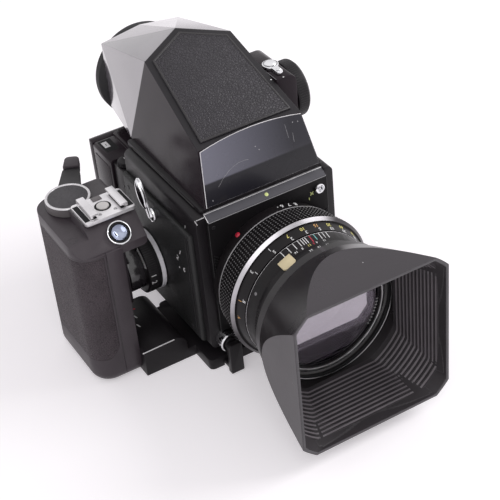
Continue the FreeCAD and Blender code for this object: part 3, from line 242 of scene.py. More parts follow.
def painted(name, colour, worn_and_sheen, rough, grain=1500.0, depth=0.00002, wear_and_sheen=0.0003, wear_and_sheen_share=0.5, gloss=0.5,
            coat=0.0, metal=0.0, specks=0.0, tone_scale=60.0):
    """Paint or plastic: an uneven tone, a fine grain, a paler edge that is partly rubbing and partly a
    painted highlight, and a little dust.
    """
    finish, board, shader = blank_finish(name)
    tone = tone_of(board, rgba(colour), rgba(colour, 0.78), tone_scale)
    edge = board.group(EDGE_WEAR_AND_SHEEN, {"Width": wear_and_sheen, "Breakup": 350.0})["Mask"]
    # Paler colour along edges: part rubbed paint, part painted highlight.
    base = board.mix(board.maths("MULTIPLY", edge, wear_and_sheen_share), tone["Colour"], rgba(worn_and_sheen))
    if specks:
        dust = board.group(DUST_SPECKS, {"Scale": 95.0, "Size": 0.03})["Mask"]
        base = board.mix(board.maths("MULTIPLY", dust, specks), base, DUST_COLOUR)
    roughness = board.spread(tone["Value"], 0.0, 1.0, rough - 0.04, rough + 0.05)
    roughness = board.maths("SUBTRACT", roughness, board.maths("MULTIPLY", edge, 0.1), clamp=True)
    sand = board.group(FINE_GRAIN, {"Scale": grain})["Height"]
    board.feed(shader, {"Base Color": base, "Roughness": roughness, "Metallic": metal,
                        "Specular IOR Level": gloss, "Coat Weight": coat, "Coat Roughness": 0.08,
                        "Normal": board.bump(sand, depth)})
    return finish


def leathered(name, colour, crease, rough, scale, depth, gloss=0.5):
    """Leatherette with darker creases between its pebbles."""
    finish, board, shader = blank_finish(name)
    tone = tone_of(board, rgba(colour), rgba(colour, 0.75), 90.0)
    hide = board.group(LEATHER_PEBBLES, {"Scale": scale})
    board.feed(shader, {"Base Color": board.mix(hide["Crease"], tone["Colour"], rgba(crease)),
                        "Roughness": board.spread(hide["Height"], 0.0, 1.0, rough + 0.12, rough - 0.05),
                        "Specular IOR Level": gloss, "Normal": board.bump(hide["Height"], depth)})
    return finish


def lathe_rings(board, rough):
    """The height of a lathe's rings, and the roughness that goes with it."""
    rings = board.group(TURNING_MARKS, {"Scale": 900.0})["Height"]
    return rings, board.spread(rings, 0.3, 0.7, rough - 0.05, rough + 0.07)


def turned_metal(name, colour, dark, rough, depth=0.00001, metal=1.0, gloss=0.5):
    """Metal with lathe rings and slightly tarnished patches."""
    finish, board, shader = blank_finish(name)
    tone = tone_of(board, rgba(colour), rgba(dark), 140.0)
    edge = board.group(EDGE_WEAR_AND_SHEEN, {"Width": 0.0002, "Breakup": 500.0})["Mask"]
    paler = tuple(min(1.0, c * 1.25 + 0.02) for c in colour)
    rings, roughness = lathe_rings(board, rough)
    # The paler edges are part wear and part painted highlight.
    board.feed(shader, {"Base Color": board.mix(edge, tone["Colour"], rgba(paler)), "Roughness": roughness,
                        "Metallic": metal, "Specular IOR Level": gloss, "Normal": board.bump(rings, depth)})
    return finish


def plate_finish():
    """The finder's front plate: black under a lacquer coat, with a painted bluish reflection mixed into its
    colour above its foot, fading towards its +X side.
    """
    finish = painted("front_plate_gloss", (0.014, 0.013, 0.017), (0.5, 0.5, 0.52), 0.25, depth=0.000002,
                     wear_and_sheen=0.0005, wear_and_sheen_share=0.9, gloss=0.3)
    board, shader = opened(finish)
    place = board.axes()
    # One mask for the lacquer coat and the painted reflection: high above the foot and on the -X side.
    lacquer_and_painted_reflection = board.maths("MULTIPLY", board.spread(place[2], *LACQUER_AND_REFLECTION_FOOT, 0.06, 1.0),
                          board.spread(place[0], *LACQUER_AND_REFLECTION_SPAN, 1.0, 0.1))
    black = shader.inputs["Base Color"].links[0].from_socket
    board.feed(shader, {"Base Color": board.mix(lacquer_and_painted_reflection, black, PLATE_PAINTED_REFLECTION_BLUE), "Coat Weight": lacquer_and_painted_reflection,
                        "Coat IOR": 1.8, "Coat Roughness": 0.1})
    return finish


def rear_flank_painted_reflection_finish():
    """The finder's rear faces: thick clear lacquer over a pale base colour that is a painted reflection of
    the pale room they show at a low angle.
    """
    finish = painted("rear_flank_painted_reflection", (0.17, 0.145, 0.175), (0.4, 0.38, 0.4), 0.2, depth=0.000004,
                     wear_and_sheen=0.0005, coat=1.0)
    opened(finish)[1].inputs["Coat IOR"].default_value = 2.2
    return finish


def band_with_painted_reflection(name, colour, dark, rough):
    """A bright turned band with a painted reflection: dark below a slanted line across it and bright above,
    where the pale room would show.
    """
    finish, board, shader = blank_finish(name)
    place = board.axes()
    rise = board.maths("SUBTRACT", place[2], board.maths("MULTIPLY", place[0], 0.75))
    tone = tone_of(board, rgba(colour), rgba(colour, 0.8), 140.0)
    rings, roughness = lathe_rings(board, rough)
    # Painted reflection: dark low on the band, bright high on it.
    base = board.mix(board.spread(rise, 0.070, 0.104), rgba(dark), tone["Colour"])
    board.feed(shader, {"Base Color": base, "Roughness": roughness, "Metallic": 0.8,
                        "Normal": board.bump(rings, 0.00001)})
    return finish


def clear_glass(name, tint, rough=0.02):
    """Coated glass: clear, with a faint smear in its polish."""
    finish, board, shader = blank_finish(name)
    smear = tone_of(board, rgba(tint), rgba(tint, 0.94), 50.0)
    board.feed(shader, {"Base Color": smear["Colour"], "Transmission Weight": 1.0, "IOR": 1.5,
                        "Roughness": board.spread(smear["Value"], 0.0, 1.0, rough, rough + 0.02)})
    return finish


def filter_finish(name, tint, mirror, rough=0.03):
    """The front filter, which throws back part of the pale room, leaned so that it shows where it does."""
    finish = clear_glass(name, tint, rough)
    board, shader = opened(finish)
    place = board.axes()
    lean = board.maths("MULTIPLY", board.maths("SUBTRACT", place[0], place[2]), FILTER_LEAN)
    board.feed(shader, {"Metallic": mirror, "Normal": board.bump(lean, 1.0)})
    return finish


def filled_mark(name, colour, rough=0.5):
    """Paint run into an engraved mark."""
    finish, board, shader = blank_finish(name)
    tone = tone_of(board, rgba(colour), rgba(colour, 0.8), 900.0)
    board.feed(shader, {"Base Color": tone["Colour"],
                        "Roughness": board.spread(tone["Value"], 0.0, 1.0, rough - 0.08, rough + 0.08)})
    return finish


BODY_BLACK = painted("body_black", (0.012, 0.010, 0.012), (0.10, 0.10, 0.105), 0.40, wear_and_sheen=0.0004, gloss=0.25)
PANEL_BLACK = painted("panel_black", (0.008, 0.007, 0.008), (0.12, 0.12, 0.12), 0.5, gloss=0.12)
SIDE_COVER = leathered("side_cover_black", (0.012, 0.012, 0.013), (0.006, 0.006, 0.006), 0.5, 1300.0,
                       0.00008, 0.4)
FINDER_BLACK = painted("finder_black", (0.024, 0.017, 0.022), (0.10, 0.09, 0.10), 0.22, depth=0.000006,
                       wear_and_sheen=0.0005, gloss=0.14)
FINDER_ROOF = painted("finder_roof_black", (0.020, 0.018, 0.021), (0.10, 0.09, 0.10), 0.5, depth=0.00001,
                      wear_and_sheen=0.0006, gloss=0.25)
# Pale finish for the finder's rear faces: a painted reflection.
FINDER_FLANK_PAINTED_REFLECTION = rear_flank_painted_reflection_finish()
FINDER_LEATHER = leathered("finder_leather", (0.033, 0.029, 0.036), (0.012, 0.010, 0.013), 0.48, 620.0,
                           0.00026, 0.4)
PLATE_GLOSS = plate_finish()
DRUM_GLOSS = painted("drum_gloss_black", (0.030, 0.026, 0.030), (0.12, 0.11, 0.12), 0.18, 1100.0, 0.000006,
                     gloss=0.6, coat=0.7)
GRIP_PLASTIC = painted("grip_plastic", (0.052, 0.041, 0.049), (0.10, 0.09, 0.10), 0.42, 1100.0, 0.00005,
                       gloss=0.4, specks=0.5)
GRIP_LEATHER = leathered("grip_leatherette", (0.080, 0.064, 0.073), (0.024, 0.019, 0.023), 0.55, 900.0,
                         0.00022, 0.25)
LENS_BLACK = turned_metal("lens_black", (0.010, 0.008, 0.009), (0.007, 0.006, 0.007), 0.36, metal=0.0,
                          gloss=0.22)
HOOD_BLACK = painted("hood_black", (0.025, 0.018, 0.025), (0.12, 0.11, 0.12), 0.3, 900.0,
                     gloss=0.6, specks=0.8, tone_scale=25.0)
# A darker copy of the hood black: painted shade.
HOOD_SHOULDER_PAINTED_SHADE = painted("hood_shoulder_painted_shade", (0.016, 0.013, 0.015), (0.10, 0.09, 0.10), 0.3, 900.0, 0.00001)
INNER_BLACK = painted("inner_flat_black", (0.010, 0.010, 0.011), (0.03, 0.03, 0.03), 0.7, gloss=0.25)
BAFFLE_BLACK = painted("baffle_black", (0.036, 0.031, 0.035), (0.10, 0.095, 0.10), 0.6, gloss=0.35)
RUBBER = painted("cup_rubber", (0.016, 0.015, 0.017), (0.04, 0.04, 0.042), 0.6, 1800.0, 0.00004, gloss=0.4)
# Paler grey for the hood's lip: a painted highlight.
LIP_PAINTED_HIGHLIGHT = painted("hood_lip_painted_highlight", (0.075, 0.07, 0.077), (0.16, 0.15, 0.16), 0.45)
# Paler grey for the rib crests: a painted highlight.
RIB_CREST_PAINTED_HIGHLIGHT = painted("hood_rib_painted_highlight", (0.17, 0.15, 0.165), (0.26, 0.25, 0.26), 0.5, 1200.0)
# Pale stud tips: a painted highlight.
STUD_TIP_PAINTED_HIGHLIGHT = painted("stud_tip_painted_highlight", (0.16, 0.155, 0.16), (0.3, 0.29, 0.3), 0.35)
EDGE_GREY = painted("edge_grey", (0.27, 0.26, 0.28), (0.4, 0.4, 0.4), 0.4)
EDGE_DIM = painted("edge_dim", (0.05, 0.048, 0.05), (0.1, 0.1, 0.1), 0.45)
BAR_GREY = painted("bar_grey", (0.050, 0.047, 0.060), (0.11, 0.10, 0.11), 0.4, wear_and_sheen=0.0004)
HUB_GREY = painted("lever_hub_grey", (0.16, 0.145, 0.15), (0.30, 0.28, 0.29), 0.4)
LEATHER_BORDER = painted("leather_border", (0.020, 0.017, 0.019), (0.10, 0.09, 0.10), 0.42, wear_and_sheen=0.0004)
CAP_LEATHER = leathered("lever_cap_leather", (0.075, 0.070, 0.078), (0.030, 0.028, 0.030), 0.6, 1400.0,
                        0.00008)
SHOE_PALE = painted("shoe_contact_pale", (0.78, 0.75, 0.74), (0.9, 0.88, 0.86), 0.35, depth=0.000004)
# Near white for the silver disc rim: a painted reflection.
DISC_RIM_PAINTED_REFLECTION = painted("disc_rim_painted_reflection", (0.94, 0.92, 0.97), (0.98, 0.98, 1.0), 0.2, depth=0.000003, coat=0.6)
SHOE_SILVER = painted("shoe_silver", (0.88, 0.86, 0.88), (0.95, 0.95, 0.95), 0.32, 700.0, 0.00001, metal=0.7)
CREAM = painted("tab_cream", (0.78, 0.66, 0.42), (0.92, 0.86, 0.72), 0.4, depth=0.000006, wear_and_sheen=0.0004)
NOTE_CARD = painted("note_card", (0.74, 0.72, 0.66), (0.8, 0.78, 0.72), 0.7, depth=0.000004)
CHROME = turned_metal("bright_chrome", (0.82, 0.82, 0.84), (0.70, 0.70, 0.72), 0.12, depth=0.000003)
SILVER = turned_metal("brushed_silver", (0.74, 0.73, 0.74), (0.60, 0.59, 0.60), 0.30)
STEEL = turned_metal("plain_steel", (0.46, 0.45, 0.46), (0.36, 0.35, 0.36), 0.32)
BRASS = turned_metal("turned_brass", (0.62, 0.48, 0.24), (0.50, 0.38, 0.18), 0.28)
THIN_BRIGHT = turned_metal("thin_bright_edge", (0.72, 0.70, 0.72), (0.60, 0.58, 0.60), 0.35, metal=0.6)
PLATE_EDGE = turned_metal("front_plate_edge", (0.80, 0.78, 0.80), (0.66, 0.64, 0.66), 0.3, metal=0.3)
BUTTON_BLUE = turned_metal("release_button_metal", (0.42, 0.46, 0.58), (0.10, 0.11, 0.17), 0.12,
                           depth=0.000002)
# The focus ring's band, with a painted reflection.
BAND_PAINTED_REFLECTION = band_with_painted_reflection("band_painted_reflection", (0.60, 0.58, 0.61), (0.055, 0.05, 0.055), 0.3)
MIRROR_FACE = turned_metal("mirror_silvering", (0.86, 0.87, 0.88), (0.82, 0.83, 0.84), 0.06, depth=0.0)
GLASS = clear_glass("coated_glass", (0.92, 0.90, 0.97))
FILTER_GLASS = filter_finish("filter_glass", (0.62, 0.58, 0.64), 0.41)
WHITE_MARK = filled_mark("white_mark", (0.85, 0.84, 0.85))
YELLOW_MARK = filled_mark("yellow_mark", (0.80, 0.72, 0.22))
ORANGE_MARK = filled_mark("orange_mark", (0.78, 0.42, 0.14))
RED_MARK = filled_mark("red_mark", (0.55, 0.02, 0.05), 0.3)
CYAN_MARK = filled_mark("cyan_mark", (0.25, 0.62, 0.60))
GREY_MARK = filled_mark("grey_mark", (0.22, 0.21, 0.22))
INDEX_YELLOW = filled_mark("index_yellow", (0.72, 0.80, 0.30), 0.35)
SCRATCH_GREY = filled_mark("scratch_grey", (0.36, 0.35, 0.37), 0.4)


# Making pieces
def finished(name, shape, finish, carrier, stands_for=(), sharp=32.0):
    """Closes a shape built in millimetres and makes it a piece that rides with the carrier's body."""
    bmesh.ops.scale(shape, vec=(MM, MM, MM), verts=shape.verts)
    return fitted(name, shape, finish, carrier, stands_for, sharp)


def fitted(name, shape, finish, carrier, stands_for=(), sharp=32.0):
    """Makes a shape in metres a piece, creased where its faces meet at more than the sharp angle."""
    mesh = bpy.data.meshes.new(name)
    for face in shape.faces:
        face.smooth = True
    for edge in shape.edges:
        edge.smooth = len(edge.link_faces) != 2 or edge.calc_face_angle(0.0) < math.radians(sharp)
    shape.to_mesh(mesh)
    shape.free()
    for material in finish if isinstance(finish, tuple) else (finish,):
        mesh.materials.append(material)
    piece = bpy.data.objects.new(name, mesh)
    bpy.context.scene.collection.objects.link(piece)
    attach(piece, frame["nodes"][carrier]["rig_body"])
    if stands_for:
        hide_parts(*stands_for)
    return piece


def clean(shape):
    """Merges doubles and turns the faces outwards."""
    bmesh.ops.remove_doubles(shape, verts=shape.verts, dist=0.001)
    bmesh.ops.recalc_face_normals(shape, faces=shape.faces)


def rounded_edges(shape, width, segments=2, angle=30.0):
    least = math.radians(angle)
    edges = [e for e in shape.edges if len(e.link_faces) == 2 and e.calc_face_angle(0.0) > least]
    bmesh.ops.bevel(shape, geom=edges, offset=width, offset_type="OFFSET", affect="EDGES", segments=segments,
                    profile=0.5, material=-1, clamp_overlap=True)


def softened(node, finish, width, sharp=32.0, angle=30.0):
    """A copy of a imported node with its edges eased, which stands in its place."""
    shape = bmesh.new()
    shape.from_mesh(frame["nodes"][node].data)
    bmesh.ops.remove_doubles(shape, verts=shape.verts, dist=1e-6)
    bmesh.ops.dissolve_limit(shape, angle_limit=math.radians(1.0), verts=shape.verts, edges=shape.edges,
                             delimit=set())
    rounded_edges(shape, width * MM, 2, angle)
    return fitted(node + "_body", shape, finish, node, (node,), sharp)


def kept(node, finish):
    """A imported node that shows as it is, in its own finish."""
    target = frame["nodes"][node]
    target.data.materials.clear()
    target.data.materials.append(finish)


def added(shape, other):
    """Copies another shape's faces into a shape, and frees the other."""
    mesh = bpy.data.meshes.new("passing")
    other.to_mesh(mesh)
    other.free()
    shape.from_mesh(mesh)
    bpy.data.meshes.remove(mesh)


def tinted(shape, index, test):
    for face in shape.faces:
        if test(face.calc_center_median()):
            face.material_index = index


# Places: a matrix whose z axis points out of a surface, and whose y axis is up on it
def frame_at(place, out, up=UP):
    z = Vector(out).normalized()
    x = Vector(up).cross(z).normalized()
    y = z.cross(x)
    return Matrix.Translation(place) @ Matrix((x, y, z)).transposed().to_4x4()


def above(x, y, z):
    """A place on a top face, with its y axis towards the lens."""
    return frame_at((x, y, z), UP, AHEAD)


def ahead(x, y, z):
    """A place on a front face."""
    return frame_at((x, y, z), AHEAD)


def aside(side, x, y, z):
    """A place that faces sideways: side is 1 towards +X and -1 towards -X, and x is its distance that way."""
    return frame_at((side * x, y, z), (side, 0, 0))


def turned_by(place, angle):
    return place @ Matrix.Rotation(math.radians(angle), 4, "Z")


def shifted(place, right, up, out=0.0):
    return place @ Matrix.Translation((right, up, out))


# The lens axis as a place: z runs forward, y runs up. Heights on it are distances in front of Y 0.
LENS = frame_at((0, 0, LENS_Z), AHEAD)


def ring_place(radius, front, angle, tilt=0.0):
    """A place on a lens ring: z out of the ring, y towards the front, turned from the top by the angle."""
    a = math.radians(angle)
    out = Vector((math.sin(a), 0, math.cos(a)))
    centre = Vector((0, -front, LENS_Z)) + out * radius
    return frame_at(centre, out, AHEAD) @ Matrix.Rotation(math.radians(tilt), 4, "X")


# Shapes that stand on a place
def pillar(shape, radius, top_radius, depth, place, sides=32):
    """A round post."""
    bmesh.ops.create_cone(shape, cap_ends=True, segments=sides, radius1=radius, radius2=top_radius,
                          depth=depth, matrix=shifted(place, 0, 0, depth / 2))


def brick(shape, place, width, height, depth):
    """A small box."""
    matrix = shifted(place, 0, 0, depth / 2) @ Matrix.Diagonal((width, height, depth, 1))
    bmesh.ops.create_cube(shape, size=1.0, matrix=matrix)


def bar_mark(shape, length, width, place, lift=0.03):
    """A thin raised line along the y axis."""
    bmesh.ops.create_cube(shape, size=1.0, matrix=place @ Matrix.Diagonal((width, length, lift * 2, 1)))


def dot_mark(shape, radius, place, lift=0.05, sides=20):
    pillar(shape, radius, radius * 0.85, lift, place, sides)


def lettering(shape, words, size, place, lift=0.03):
    """Small numbers that stand a hair above the surface."""
    curve = bpy.data.curves.new("figures", "FONT")
    curve.body = words
    curve.size = size
    curve.align_x = "CENTER"
    curve.align_y = "CENTER"
    curve.extrude = lift
    curve.offset = size * 0.012
    curve.resolution_u = 2
    maker = bpy.data.objects.new("figures", curve)
    mesh = bpy.data.meshes.new_from_object(maker)
    mesh.transform(place)
    shape.from_mesh(mesh)
    bpy.data.objects.remove(maker)
    bpy.data.curves.remove(curve)
    bpy.data.meshes.remove(mesh)


def run_of(shape, start, end, radius, sides=8):
    """A thin straight bead from one point to another."""
    along = Vector(end) - Vector(start)
    up = UP if abs(along.normalized().z) < 0.9 else REARWARD
    pillar(shape, radius, radius, along.length, frame_at(start, along, up), sides)


def lathe(points, place, steps=96):
    """A shape turned about the z axis, from (radius, height) points; a radius of 0 closes an end."""
    shape = bmesh.new()
    verts = [shape.verts.new((r, 0, a)) for r, a in points]
    edges = [shape.edges.new(pair) for pair in zip(verts, verts[1:])]
    bmesh.ops.spin(shape, geom=verts + edges, cent=(0, 0, 0), axis=UP, angle=math.tau, steps=steps,
                   use_merge=True)
    clean(shape)
    bmesh.ops.transform(shape, matrix=place, verts=shape.verts)
    return shape


def band(radius_in, radius_out, low, high, place, steps=64, ease=0.0):
    """A plain ring of square section, with eased outer edges."""
    eased = radius_out - ease
    return lathe([(radius_in, low), (eased, low), (radius_out, low + ease), (radius_out, high - ease),
                  (eased, high), (radius_in, high), (radius_in, low)], place, steps)


def round_rim(radius, thickness, place, steps=64):
    """A ring of round section."""
    turns = [math.tau * i / 8 for i in range(9)]
    return lathe([(radius + thickness * math.cos(a), thickness * math.sin(a)) for a in turns], place, steps)


# Whole pieces of one kind
def piled(name, finish, carrier, *sets, ease=0.0, steps=1, sharp=32.0):
    """One piece from sets of like shapes, each set a builder and a list of what it takes for each shape."""
    shape = bmesh.new()
    for build, items in sets:
        for item in items:
            build(shape, *item)
    if ease:
        rounded_edges(shape, ease, steps)
    finished(name, shape, finish, carrier, sharp=sharp)


def bricks(name, finish, carrier, boxes, ease=0.0, steps=1):
    """Small boxes as one piece, each a place, width, height and depth."""
    piled(name, finish, carrier, (brick, boxes), ease=ease, steps=steps)


def marks(name, finish, carrier, bars=(), dots=(), words=()):
    """Lines (length, width, place), dots (radius, place) and numbers (text, size, place) as one piece."""
    piled(name, finish, carrier, (bar_mark, bars), (dot_mark, dots), (lettering, words))


def rim(name, finish, carrier, radius, thickness, place, steps):
    finished(name, round_rim(radius, thickness, place, steps), finish, carrier)


def turned(name, finish, carrier, points, place, steps, stands_for=(), sharp=32.0):
    finished(name, lathe(points, place, steps), finish, carrier, stands_for, sharp)


def beads(name, finish, carrier, runs, sharp=32.0):
    """Thin beads as one piece, each a start, an end and a radius."""
    piled(name, finish, carrier, (run_of, runs), sharp=sharp)


def threads(name, finish, carrier, radii, start, pitch, place, steps):
    """Four fine rings of a thread inside a bore."""
    shape = bmesh.new()
    for low in (start + i * pitch for i in range(4)):
        added(shape, band(*radii, low, low + 0.3, place, steps))
    finished(name, shape, finish, carrier)


def screw_heads(name, carrier, spots, radius, finish=STEEL):
    """Low round screws with their slots, each set at a place and a turn."""
    heads = bmesh.new()
    slots = bmesh.new()
    for place, turn in spots:
        pillar(heads, radius, radius * 0.86, 0.32, shifted(place, 0, 0, -0.05), 24)
        bar_mark(slots, radius * 1.55, radius * 0.22, shifted(turned_by(place, turn), 0, 0, 0.262), 0.02)
    finished(name, heads, finish, carrier)
    finished(name + "_slots", slots, INNER_BLACK, carrier)


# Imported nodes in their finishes, by how far their edges are eased in millimetres
EASED = {
    0.1: {CHROME: ["lens_mount_ring"]},
    0.15: {SILVER: ["filter_ring"]},
    0.2: {BRASS: ["tripod_bush"], STEEL: ["clamp_screw", "dark_slide"], CHROME: ["sync_socket"],
          SIDE_COVER: ["side_cover_right", "side_cover_left"], SHOE_SILVER: ["accessory_shoe"],
          FINDER_LEATHER: ["finder_leather"], LENS_BLACK: ["lens_flange", "lens_barrel", "aperture_ring"],
          BODY_BLACK: ["film_dial"]},
    0.3: {PANEL_BLACK: ["front_panel"], CHROME: ["shutter_collar", "strap_studs"],
          DRUM_GLOSS: ["coupling_drum"], BODY_BLACK: ["wind_disc", "speed_dial", "meter_dial"],
          GRIP_PLASTIC: ["grip_shell", "grip_strip"], PLATE_GLOSS: ["finder_front_plate"]},
    0.35: {GRIP_LEATHER: ["grip_skin"]},
    0.4: {BODY_BLACK: ["base_plate", "casing", "shutter_button", "finder_flange", "back_frame"],
          CHROME: ["release_ring", "meter_switch"], CREAM: ["lens_tab"], FINDER_BLACK: ["back_door"]},
    0.5: {CHROME: ["lens_release"], GRIP_PLASTIC: ["grip_cap", "gear_case"], BODY_BLACK: ["release_link"],
          FINDER_BLACK: ["back_shell"]},
    0.6: {BODY_BLACK: ["wind_lever"], GRIP_PLASTIC: ["lever_tip"]},
    0.8: {RUBBER: ["eyecup"], FINDER_BLACK: ["meter_case"]},
}
SHOWN_AS_PACKED = {
    INNER_BLACK: ["mirror_box", "film_insert", "supply_spool", "take_up_spool"],
    STEEL: ["mirror_holder", "iris"], MIRROR_FACE: ["reflex_mirror"], FILTER_GLASS: ["filter_glass"],
    GLASS: ["focusing_screen", "prism_glass", "eyepiece_glass", "lens_glasses"],
}

# Where the finder housing's rear faces start, in y and z, and its roof, in z, all in metres
FLANK_START = (0.0485, 0.1040)
ROOF_START = 0.1250


def packed_nodes():
    for width, finishes in EASED.items():
        for finish, nodes in finishes.items():
            for node in nodes:
                softened(node, finish, width)
    for finish, nodes in SHOWN_AS_PACKED.items():
        for node in nodes:
            kept(node, finish)


def finder_housing():
    """The housing with its rear faces in a pale lacquered finish that paints in their reflection, and its
    duller roof.
    """
    finishes = (FINDER_BLACK, FINDER_FLANK_PAINTED_REFLECTION, FINDER_ROOF)
    housing = softened("finder_housing", finishes, 0.8, sharp=14.0, angle=10.0)
    for face in housing.data.polygons:
        # Rear faces take the pale finish: a painted reflection.
        if face.center.y > FLANK_START[0] and face.center.z > FLANK_START[1]:
            face.material_index = 1
        elif face.center.z > ROOF_START and face.normal.z > 0.6:
            face.material_index = 2


packed_nodes()
finder_housing()


# Hood: its shell, the ribbed lining and the bright edges
HOOD_MOUTH_Y = -125.8
HOOD_ROOT_Y = -85.6
HOOD_HALF_WIDTH = 43.2
HOOD_HALF_HEIGHT = 43.7
HOOD_ROOT_RADIUS = 39.2
HOOD_SLOPE = 0.4417
HOOD_LEAN = 0.26
LINING_START_Y = HOOD_MOUTH_Y + 6.5
RIB_PITCH = 2.3
RIB_COUNT = 12
SHOULDER_SPAN = (-0.1245, -0.079)


def hood_loop(shape, y, inset):
    """The hood's outline at a depth: a circle cut flat by four sides, drawn in towards the lens inside."""
    radius = HOOD_ROOT_RADIUS + HOOD_SLOPE * (HOOD_ROOT_Y - y) - inset
    matrix = Matrix.Translation((0, y, 0)) @ Matrix.Rotation(math.radians(90), 4, "X")
    verts = bmesh.ops.create_circle(shape, segments=144, radius=radius, matrix=matrix)["verts"]
    lean = HOOD_LEAN * max(0.0, y - LINING_START_Y) if inset > 0 else 0.0
    half_x = HOOD_HALF_WIDTH - inset - lean
    half_z = HOOD_HALF_HEIGHT - inset - lean
    for v in verts:
        v.co.x = max(-half_x, min(half_x, v.co.x))
        v.co.z = max(-half_z, min(half_z, v.co.z)) + LENS_Z


def bridged(loops):
    """A closed wall through hood loops given as (y, inset), in order and back to the first."""
    shape = bmesh.new()
    edges = []
    for y, inset in loops:
        before = set(shape.edges)
        hood_loop(shape, y, inset)
        edges.append([e for e in shape.edges if e not in before])
    for i, loop in enumerate(edges):
        bmesh.ops.bridge_loops(shape, edges=loop + edges[(i + 1) % len(edges)])
    clean(shape)
    return shape


def hood_lining():
    """Steps moulded round the inside of the hood that kill stray light, with a paler grey on their crests
    that is a painted highlight.
    """
    loops = [(HOOD_MOUTH_Y + 0.25, 0.02), (HOOD_MOUTH_Y + 6.2, 0.12)]
    starts = [LINING_START_Y + i * RIB_PITCH for i in range(RIB_COUNT)]
    for y in starts:
        loops += [(y, 1.1), (y + 0.9, 1.1), (y + 1.1, 0.1), (y + RIB_PITCH - 0.2, 0.1)]
    end = LINING_START_Y + RIB_COUNT * RIB_PITCH + 1.5
    shape = bridged(loops + [(end, 0.12), (end, -0.35), (HOOD_MOUTH_Y + 0.25, -0.35)])
    # Crest faces take the paler grey: a painted highlight.
    tinted(shape, 1, lambda c: any(abs(c.y - y - 0.45) < 0.1 for y in starts))
    finished("hood_ribbed_lining", shape, (BAFFLE_BLACK, RIB_CREST_PAINTED_HIGHLIGHT), "hood", sharp=25.0)


def hood_shell():
    """The hood itself, with a darker copy of its black, painted shade, on the smooth shoulder where the round
    root runs into the flat sides.
    """
    piece = softened("hood", (HOOD_BLACK, HOOD_SHOULDER_PAINTED_SHADE), 0.4, sharp=9.0)
    for face in piece.data.polygons:
        flat = max(abs(face.normal.x), abs(face.normal.z)) > 0.999
        # Shoulder faces take the darker copy: painted shade.
        if not flat and SHOULDER_SPAN[0] < face.center.y < SHOULDER_SPAN[1]:
            face.material_index = 1


def hood_edges():
    """The moulded lip round the mouth, in a paler grey that is a painted highlight, and the ring and step
    deep inside.
    """
    lip = bridged([(HOOD_MOUTH_Y + 0.05, -1.55), (HOOD_MOUTH_Y - 0.18, -1.4), (HOOD_MOUTH_Y - 0.18, -0.25),
                   (HOOD_MOUTH_Y + 0.05, -0.1)])
    # The lip's paler grey is a painted highlight.
    finished("hood_mouth_lip", lip, LIP_PAINTED_HIGHLIGHT, "hood", sharp=60.0)
    rim("hood_root_bright_ring", STEEL, "hood", 37.6, 0.28, shifted(LENS, 0, 0, 86.3), 128)
    finished("hood_root_step", band(36.0, 39.0, 85.2, 86.0, LENS, 96, 0.2), INNER_BLACK, "hood")


hood_shell()
hood_lining()
hood_edges()


# Lens: the studded focus ring, the scales and the filter's rim
FOCUS_STUDS_ROUND = 120
FOCUS_STUD_ROWS = 7
STUD_ROW_START = 41.6
STUD_ROW_PITCH = 2.08
GRIP_CONE_START = (38.95, 40.4)
GRIP_CONE_END = (41.5, 55.2)
GRIP_CONE_SLOPE = (GRIP_CONE_END[0] - GRIP_CONE_START[0]) / (GRIP_CONE_END[1] - GRIP_CONE_START[1])

# Rings that narrow towards the front: radius and height where they start, slope and tilt
DISTANCE_CONE = (40.0, 57.9, 0.3214, -17.8)
DEPTH_CONE = (38.0, 64.3, 0.1818, -10.3)


def stud_field(rise, foot, top, height):
    """Square studs in rows round the grip of the focus ring."""
    shape = bmesh.new()
    lean = math.degrees(math.atan(GRIP_CONE_SLOPE))
    for row in range(FOCUS_STUD_ROWS):
        h = STUD_ROW_START + row * STUD_ROW_PITCH
        radius = GRIP_CONE_START[0] + (h - GRIP_CONE_START[1]) * GRIP_CONE_SLOPE + rise
        for i in range(FOCUS_STUDS_ROUND):
            place = ring_place(radius, h, 360.0 * i / FOCUS_STUDS_ROUND, lean)
            pillar(shape, foot, top, height, turned_by(place, 45), 4)
    return shape


def focus_ring():
    """The ring with its studs, whose pale tips are a painted highlight, its bright edges, a band with a
    painted reflection and a scale that slopes in behind the hood.
    """
    shape = lathe([(33.05, 39.1), (39.4, 39.1), (39.78, 39.35), (39.8, 40.1), GRIP_CONE_START, GRIP_CONE_END,
                   (42.45, 55.5), (42.5, 56.1), (40.95, 57.85), (40.0, 57.9), (38.2, 63.5), (33.05, 63.5),
                   (33.05, 39.1)], LENS, 144)
    # Index 1 is the band with the painted reflection, index 2 the thin bright rear edge.
    for index, start, end, least in ((1, 56.1, 57.88, 40.9), (2, 39.0, 40.0, 39.3)):
        tinted(shape, index, lambda c: start < -c.y < end and math.hypot(c.x, c.z - LENS_Z) > least)
    added(shape, stud_field(-0.05, 0.98, 0.56, 0.93))
    # Pale caps on the studs' crests: a painted highlight.
    finished("focus_stud_painted_highlights", stud_field(0.86, 0.52, 0.42, 0.06), STUD_TIP_PAINTED_HIGHLIGHT, "focus_ring")
    finished("focus_ring_body", shape, (LENS_BLACK, BAND_PAINTED_REFLECTION, THIN_BRIGHT), "focus_ring",
             ("focus_ring",), 28.0)


def cone_place(cone, h, angle):
    """A place on a ring that narrows towards the front."""
    radius, start, slope, tilt = cone
    return ring_place(radius - (h - start) * slope, h, angle, tilt)


